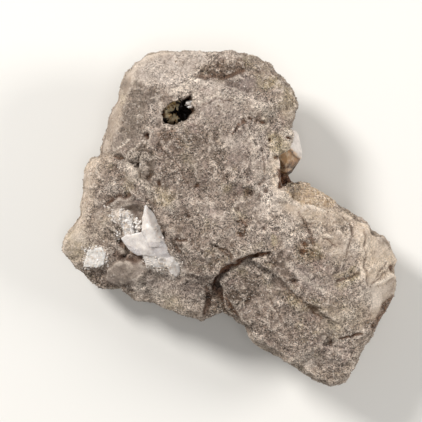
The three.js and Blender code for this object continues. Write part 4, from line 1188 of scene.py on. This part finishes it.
def rusty_inside_with_painted_light(name):
    """A broken film of iron along an old fracture, inside the clear crystal, with painted light on its
    lowest face.
    """
    w = Finish(name)
    place = w.in_mm()
    axes = w.axes(place)
    cloud = w.noise(place, 0.6, 4.0, 0.62, 8.7)
    height = w.math("ADD", axes["Y"], w.swing(cloud, 0.5, 5.0))
    streak = w.noise(w.in_mm((1.0, 0.35, 1.0)), 1.1, 3.0, 0.6, 3.7)
    # Painted light on the lowest face, lifting it out of the shade of the pocket.
    low_face = w.times(w.ramp(axes["Y"], 15.5, 14.9), w.ramp(axes["X"], 18.6, 18.0))
    body = w.mix(w.ramp(height, 15.4, 17.6), colour(94, 56, 30), colour(214, 170, 122))
    body = w.coats(body, (
        (w.ramp(streak, 0.5, 0.62, 0.0, 0.7), (244, 222, 190)),
        (w.ramp(streak, 0.44, 0.36, 0.0, 0.6), (168, 116, 72)),
        (w.times(low_face, 0.85), (250, 214, 176)),
    ))
    w.set(Base_Color=body, Roughness=w.ramp(cloud, 0.3, 0.7, 0.5, 0.8))
    return w.material


def clear_quartz(name):
    """Water-clear quartz with a faint warm body colour."""
    w = Finish(name)
    w.set(Base_Color=(1.0, 1.0, 1.0, 1.0), Roughness=0.03, IOR=QUARTZ_IOR, Transmission_Weight=1.0)
    inside = w.add("ShaderNodeVolumeAbsorption", {"Color": (0.93, 0.80, 0.62, 1.0), "Density": 70.0})
    w.feed(w.out.inputs["Volume"], inside.outputs[0])
    w.bump(0.25, 0.05, w.noise(w.in_mm(), 0.9, 3.0, 0.6, 2.0))
    return w.material


# ---------------------------------------------------------------- crystals


def worn_crystal(name, node, voxel, chips, tones, jag):
    """A CAD crystal with its edges slightly rounded and chipped, and its faces faintly stepped.

    The tones are patches of clearer (0) and whiter (1) quartz, seen from above; the jag is how
    far its edges are broken back.
    """
    mesh = rebuilt(copy_of_nodes(name, [node]), voxel)
    edges = edges_of(mesh)
    points = eased(points_of(mesh), edges, 1)
    move_points(mesh, points)
    normals = unit(eased(normals_of(mesh), edges, 1))
    height = np.full(len(points), 0.10)
    for size, reach, seed in chips:
        height += reach * dishes(points, size, seed)
    edge_wear = np.einsum("ij,ij->i", eased(points, edges, 8) - points, normals)
    broken = patch(points[:, :2], BLADE_FAN, 1.0)
    height += broken * (0.7 * wave(points, 1.6, 103) + 0.5 * wave(points, 0.7, 107) - 0.45)
    on_edge = np.clip(-edge_wear / 0.2, 0, 1)
    ragged = on_edge * np.clip(0.35 + 1.3 * wave(points, 1.3, 91), 0, 1)
    height += 0.3 * wave(points, 2.2, 93) * on_edge - jag * ragged
    points = points + normals * height[:, None]
    move_points(mesh, points)
    # How hollow each place is, for painted shade in the hollows and painted highlights on the edges.
    write_mask(mesh, "hollow", np.clip(edge_wear / 0.3, -1, 1))
    tone = np.full(len(points), 0.5)
    frayed = points[:, :2] + 0.3 * waves(points, 1.2, (61, 67))
    for corners, value in tones:
        tone += (value - tone) * patch(frayed, corners, 0.25)
    write_mask(mesh, "tone", np.clip(tone + 0.5 * dishes(points, 1.8, 73), 0, 1))
    return mesh


def clear_crystal():
    """The Herkimer's faces, sharp, with only a hair of rounding on their edges."""
    bm = bmesh.new()
    bm.from_mesh(copy_of_nodes("herkimer_crystal", ["herkimer_diamond"]))
    bmesh.ops.dissolve_limit(bm, angle_limit=0.02, verts=bm.verts, edges=bm.edges)
    bmesh.ops.bevel(bm, geom=bm.edges, offset=0.09 * MM, segments=2, profile=0.6, affect="EDGES")
    return mesh_from(bm, "herkimer_crystal")


def inner_body(name, inset, place, way, voxel, roughness, seed):
    """A cloudy part inside the Herkimer: its form drawn in and cut by a plane, with a ragged skin."""
    bm = bmesh.new()
    bm.from_mesh(copy_of_nodes(name, ["herkimer_diamond"]))
    middle = Vector(HERKIMER_MIDDLE) * MM
    for vertex in bm.verts:
        vertex.co = middle + (vertex.co - middle) * (1.0 - inset)
    cut = bmesh.ops.bisect_plane(
        bm, geom=bm.verts[:] + bm.edges[:] + bm.faces[:], plane_co=Vector(place) * MM,
        plane_no=Vector(way), clear_outer=True,
    )
    rim = [e for e in cut["geom_cut"] if isinstance(e, bmesh.types.BMEdge)]
    bmesh.ops.contextual_create(bm, geom=rim)
    mesh = rebuilt(mesh_from(bm, name), voxel)
    points = points_of(mesh)
    normals = normals_of(mesh)
    on_cut = np.exp(-((((points - np.array(place)) @ np.array(way)) / 0.5) ** 2))
    ragged = wave(points, 1.6, seed) + 0.6 * wave(points, 0.7, seed + 5) - 1.0
    height = (roughness + 0.35 * on_cut) * ragged
    move_points(mesh, points + normals * height[:, None])
    return mesh


def opened_crust():
    """The vug's lining, broken away under the wide part of the mouth and standing high at its left."""
    bm = bmesh.new()
    bmesh.ops.create_cube(bm, size=BREAK_BLOCK * MM)
    lean = Matrix.Rotation(math.radians(BREAK_LEAN), 4, "Y")
    bmesh.ops.transform(bm, matrix=lean, verts=bm.verts)
    middle = Vector(BREAK_WAY) * (0.5 * BREAK_BLOCK) * MM + Vector(CRUST_BREAK) * MM
    bmesh.ops.translate(bm, vec=middle, verts=bm.verts)
    away = shown("away", mesh_from(bm, "away"))
    carrier = shown("carrier", copy_of_nodes("vug_crust", ["vug_druse"]))
    cut = carrier.modifiers.new("cut", "BOOLEAN")
    cut.operation = "DIFFERENCE"
    cut.solver = "EXACT"
    cut.object = away
    even_grid(carrier, 0.3)
    mesh = baked(carrier, "vug_crust")
    bpy.data.objects.remove(away)
    return mesh


# ---------------------------------------------------------------- growths of small crystals


def form(name, corners, faces):
    mesh = bpy.data.meshes.new(name)
    mesh.from_pydata(corners, [], faces)
    return shown(name, mesh)


def quartz_point_form():
    """A six-sided quartz point, 1 across, its foot below the surface that it grows from."""
    turns = [math.radians(a) for a in range(0, 360, 60)]
    ring = [(0.5 * math.cos(turn), 0.5 * math.sin(turn)) for turn in turns]
    corners = [(x, y, -0.5) for x, y in ring] + [(x, y, 0.75) for x, y in ring] + [(0.05, 0.03, 1.3)]
    sides = [(i, (i + 1) % 6, 6 + (i + 1) % 6, 6 + i) for i in range(6)]
    tops = [(6 + i, 6 + (i + 1) % 6, 12) for i in range(6)]
    return form("quartz_point_form", corners, sides + tops + [(5, 4, 3, 2, 1, 0)])


def dolomite_rhomb_form():
    """A dolomite rhomb, 1 across, standing half sunk on its blunt corner."""
    a = Vector((0.62, 0, 0.40))
    b = Vector((-0.31, 0.537, 0.40))
    c = Vector((-0.31, -0.537, 0.40))
    low = Vector((0, 0, -0.52))
    corners = [low, low + a, low + b, low + c, low + a + b, low + b + c, low + c + a, low + a + b + c]
    faces = [(0, 2, 4, 1), (0, 3, 5, 2), (0, 1, 6, 3), (7, 4, 2, 5), (7, 6, 1, 4), (7, 5, 3, 6)]
    return form("dolomite_rhomb_form", [tuple(v) for v in corners], faces)


def growth_tree():
    """Small crystals seated on a host wherever its seat mask allows, leaning at random."""
    tree = bpy.data.node_groups.new("crystal growth", "GeometryNodeTree")
    sockets = tree.interface
    for label, kind in (("Host", "Geometry"), ("Form", "Object"), ("Finish", "Material")):
        sockets.new_socket(label, in_out="INPUT", socket_type="NodeSocket" + kind)
    for label, value in (("Spacing", 0.001), ("Smallest", 0.0005), ("Largest", 0.001), ("Lean", 0.4),
                         ("Slender", 1.0), ("Least tone", 0.0)):
        sockets.new_socket(label, in_out="INPUT", socket_type="NodeSocketFloat").default_value = value
    sockets.new_socket("Seed", in_out="INPUT", socket_type="NodeSocketInt").default_value = 1
    sockets.new_socket("Grown", in_out="OUTPUT", socket_type="NodeSocketGeometry")
    w = Wiring(tree)
    into = w.add("NodeGroupInput").outputs
    out = w.add("NodeGroupOutput").inputs
    seat = w.add("GeometryNodeInputNamedAttribute", {"Name": "seat"}, data_type="FLOAT")
    spread = w.add("GeometryNodeDistributePointsOnFaces", {
        "Mesh": into["Host"], "Distance Min": into["Spacing"], "Density Max": DENSEST,
        "Density Factor": seat.outputs[0], "Seed": into["Seed"],
    }, distribute_method="POISSON").outputs
    back = w.times(into["Lean"], -1.0)
    low = w.add("ShaderNodeCombineXYZ", {"X": back, "Y": back, "Z": 0.0})
    high = w.add("ShaderNodeCombineXYZ", {"X": into["Lean"], "Y": into["Lean"], "Z": FULL_TURN})
    lean = w.add("FunctionNodeRandomValue",
                 {0: low.outputs[0], 1: high.outputs[0], "Seed": into["Seed"]},
                 data_type="FLOAT_VECTOR")
    turn = w.add("FunctionNodeEulerToRotation", {0: lean.outputs[0]})
    set_up = w.add("FunctionNodeRotateRotation", {0: spread["Rotation"], 1: turn.outputs[0]},
                   rotation_space="LOCAL")
    size = w.add("FunctionNodeRandomValue",
                 {2: into["Smallest"], 3: into["Largest"], "Seed": w.math("ADD", into["Seed"], 7.0)},
                 data_type="FLOAT").outputs[1]
    scale = w.add("ShaderNodeCombineXYZ", {"X": size, "Y": size, "Z": w.times(size, into["Slender"])})
    model = w.add("GeometryNodeObjectInfo", {"Object": into["Form"]}, transform_space="ORIGINAL")
    placed = w.add("GeometryNodeInstanceOnPoints", {
        "Points": spread["Points"], "Instance": model.outputs["Geometry"],
        "Rotation": set_up.outputs[0], "Scale": scale.outputs[0],
    })
    tone = w.add("FunctionNodeRandomValue",
                 {2: into["Least tone"], "Seed": w.math("ADD", into["Seed"], 3.0)}, data_type="FLOAT")
    toned = w.add("GeometryNodeStoreNamedAttribute",
                  {"Name": "tone", "Geometry": placed.outputs[0], "Value": tone.outputs[1]},
                  data_type="FLOAT", domain="INSTANCE")
    real = w.add("GeometryNodeRealizeInstances", {0: toned.outputs[0]})
    finished = w.add("GeometryNodeSetMaterial", {"Geometry": real.outputs[0], "Material": into["Finish"]})
    w.feed(out["Grown"], finished.outputs[0])
    return tree


def add_growth(name, host, seat, looks, spacing, sizes, lean, seed, slender=1.0, least_tone=0.0):
    """Small crystals over a host mesh, as dense as its seat values allow, with sizes in mm."""
    bed = host.copy()
    write_mask(bed, "seat", np.clip(seat, 0, 1))
    carrier = shown("growth_carrier", bed)
    growth = carrier.modifiers.new("growth", "NODES")
    growth.node_group = tree
    values = {
        "Form": looks[0], "Finish": looks[1], "Spacing": spacing * MM, "Smallest": sizes[0] * MM,
        "Largest": sizes[1] * MM, "Lean": lean, "Seed": seed, "Slender": slender,
        "Least tone": least_tone,
    }
    for socket in tree.interface.items_tree:
        if socket.name in values:
            growth[socket.identifier] = values[socket.name]
    piece = shown(name, baked(carrier, name))
    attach(piece, "root")


# ---------------------------------------------------------------- building

grain = sugary_grain_group()
dust = rock_dust_group()
stone_finish = dolostone("dolostone", grain)
druse_finish = milky_druse("milky druse")
sugar_finish = loose_sugar("dolomite sugar")
rhomb_finish = dolomite_rhombs("tan dolomite")
milky_finish = milky_quartz("milky quartz", dust, (186, 180, 179), (222, 215, 209))
white_finish = milky_quartz("white quartz", dust, (190, 178, 168), (236, 230, 224))
clear_finish = clear_quartz("clear quartz")
cloud_and_reflection_finish = cloudy_inside_and_reflection("cloudy quartz")
rust_and_painted_light_finish = rusty_inside_with_painted_light("iron film in quartz")
vug_coat_and_shade_finish = vug_coat_and_shade("vug coat", dust)
honey_finish = honey_quartz("honey quartz")

stone = matrix_stone()
finish_piece("matrix_stone", stone, "matrix", stone_finish)

blades = worn_crystal("quartz_blade_cluster", "quartz_blades", 0.18, [(3.6, 0.5, 5), (1.5, 0.12, 9)],
                      BLADE_TONES, 0.3)
finish_piece("quartz_blade_cluster", blades, "quartz_blades", milky_finish, sharp=38)
corner = worn_crystal("corner_quartz_piece", "corner_quartz", 0.2, [(2.6, 0.6, 15), (1.2, 0.25, 19)],
                      CORNER_TONES, 0.5)
finish_piece("corner_quartz_piece", corner, "corner_quartz", white_finish, sharp=38)

finish_piece("herkimer_crystal", clear_crystal(), "herkimer_diamond", clear_finish, sharp=12)
cloud = inner_body("herkimer_cloud", -0.015, MILKY_EDGE, TO_CLEAR, 0.18, 0.03, 3)
finish_piece("herkimer_cloud", cloud, None, cloud_and_reflection_finish)
film = inner_body("herkimer_iron_film", 0.12, FILM_EDGE, TO_MILKY, 0.22, 0.12, 11)
finish_piece("herkimer_iron_film", film, None, rust_and_painted_light_finish)

tree = growth_tree()
point_form = quartz_point_form()
rhomb_form = dolomite_rhomb_form()
ground = points_of(stone)
flat_ground = ground[:, :2]
ground_up = normals_of(stone)[:, 2]


def stone_mask(name):
    return read(stone.attributes[name].data, "value", 1)[:, 0].astype(float)


sugar_seat = smooth_step(-0.55, 0.1, ground_up) * smooth_step(1.0, 5.0, ground[:, 2])
for label, (reach, share) in BARE.items():
    sugar_seat *= 1.0 - share * np.clip(reach * stone_mask(label), 0, 1)
sugar_seat *= 0.55 + 0.45 * np.clip(0.5 + wave(ground, 5.0, 95), 0, 1)
add_growth("dolomite_sugar", stone, sugar_seat, (rhomb_form, sugar_finish),
           spacing=0.52, sizes=(0.22, 0.44), lean=1.2, seed=4)

# Druse round the foot of the quartz, and broken points where the blades end.
on_top = smooth_step(0.0, 0.4, ground_up)
foot = np.maximum(patch(flat_ground, BLADE_FOOT, 0.8), 0.75 * patch(flat_ground, FAN_FOOT, 1.2))
foot = np.maximum(foot, patch(flat_ground, CORNER_FOOT, 0.6))
add_growth("blade_foot_druse", stone, foot * on_top, (rhomb_form, druse_finish),
           spacing=0.36, sizes=(0.2, 0.6), lean=1.3, seed=21)
spot = patch(flat_ground, FAN_SPOT, 0.8)
add_growth("fan_druse", stone, spot * on_top, (point_form, druse_finish),
           spacing=0.42, sizes=(0.25, 0.6), lean=1.2, seed=25, slender=0.8, least_tone=0.5)
gap = patch(flat_ground, FAN_GAP, 0.5)
add_growth("broken_points", stone, gap * on_top, (point_form, druse_finish),
           spacing=0.5, sizes=(0.35, 0.9), lean=1.1, seed=27, slender=0.9, least_tone=0.75)


def druse_on(name, host, areas, seed, least_tone):
    """Small milky grains over parts of a crystal."""
    points = points_of(host)
    upward = smooth_step(-0.1, 0.4, normals_of(host)[:, 2])
    seat = np.max([share * patch(points[:, :2], corners, 0.6) for corners, share in areas], axis=0)
    add_growth(name, host, seat * upward, (rhomb_form, druse_finish),
               spacing=0.36, sizes=(0.2, 0.55), lean=1.2, seed=seed, least_tone=least_tone)


druse_on("blade_druse", blades, BLADE_DRUSE, 51, 0.35)
druse_on("corner_druse", corner, CORNER_DRUSE, 57, 0.55)

ledge = 0.8 * patch(flat_ground, LEDGE, 0.6) * smooth_step(-0.3, 0.2, ground_up)
add_growth("ledge_rhombs", stone, ledge, (rhomb_form, rhomb_finish),
           spacing=0.5, sizes=(0.26, 0.65), lean=0.8, seed=33)
lip = near_line(flat_ground, VUG_RIM_QUARTZ, 0.9) * smooth_step(26.5, 28.0, ground[:, 2])
add_growth("vug_rim_quartz", stone, lip, (point_form, milky_finish),
           spacing=0.6, sizes=(0.7, 1.2), lean=0.8, seed=61, slender=1.3, least_tone=0.4)

crust = opened_crust()
crust_points = points_of(crust)
to_heart = unit(np.array(VUG_HEART) - crust_points)
facing_in = smooth_step(-0.1, 0.4, np.einsum("ij,ij->i", to_heart, normals_of(crust)))
finish_piece("vug_crust", crust, "vug_druse", vug_coat_and_shade_finish)
# The points in the vug take the same near-black coat, partly a painted shade.
add_growth("vug_quartz_points", crust, facing_in, (point_form, vug_coat_and_shade_finish),
           spacing=0.85, sizes=(0.5, 1.5), lean=0.5, seed=12, slender=1.1)
honey = smooth_step(-15.1, -16.0, crust_points[:, 0]) * smooth_step(17.4, 20.4, crust_points[:, 2])
add_growth("vug_honey_points", crust, honey * facing_in, (point_form, honey_finish),
           spacing=0.48, sizes=(0.7, 1.5), lean=0.7, seed=15, slender=1.5, least_tone=0.15)

for leftover in (point_form, rhomb_form):
    bpy.data.objects.remove(leftover)

# ---------------------------------------------------------------- table, light and camera


def table():
    top = bpy.data.meshes.new("table_top")
    sides = ((-1, -1), (1, -1), (1, 1), (-1, 1))
    corners = [(x * TABLE_REACH * MM, y * TABLE_REACH * MM, -TABLE_DROP * MM) for x, y in sides]
    top.from_pydata(corners, [], [(0, 1, 2, 3)])
    piece = shown("table_top", top)
    w = Finish("pale table")
    w.set(Base_Color=colour(226, 224, 220), Roughness=0.7)
    top.materials.append(w.material)


def soft_light(name, place, size, power, tint):
    """A round soft light, with its place and size in m, turned towards the stone."""
    lamp = bpy.data.lights.new(name, "AREA")
    lamp.shape = "DISK"
    lamp.size = size
    lamp.energy = power
    lamp.color = tint
    piece = shown(name, lamp)
    piece.location = place
    way = Vector((0, 0, 0.015)) - Vector(place)
    piece.rotation_euler = way.to_track_quat("-Z", "Y").to_euler()


def studio():
    world = bpy.data.worlds.new("studio air")
    world.use_nodes = True
    air = world.node_tree.nodes["Background"].inputs
    air["Color"].default_value = (1.0, 0.99, 0.97, 1.0)
    air["Strength"].default_value = 0.30
    bpy.context.scene.world = world
    soft_light("key", (-0.60, 0.55, 0.72), 0.30, 11.0, (1.0, 0.985, 0.96))
    soft_light("side", (0.85, 0.15, 0.48), 0.40, 5.5, (1.0, 0.98, 0.95))
    soft_light("front", (0.05, -0.15, 1.3), 0.5, 2.6, (1, 1, 1))


def camera():
    """Straight above, 1 m from the middle of the stone."""
    lens = bpy.data.cameras.new("camera")
    lens.sensor_width = SENSOR
    lens.lens = SENSOR * CAMERA_REACH / FIELD
    lens.clip_start = 0.01
    lens.clip_end = 50.0
    piece = shown("camera", lens)
    piece.location = [c * MM for c in CAMERA_PLACE]
    bpy.context.scene.camera = piece


table()
studio()
camera()
bpy.context.scene.view_settings.view_transform = "Standard"
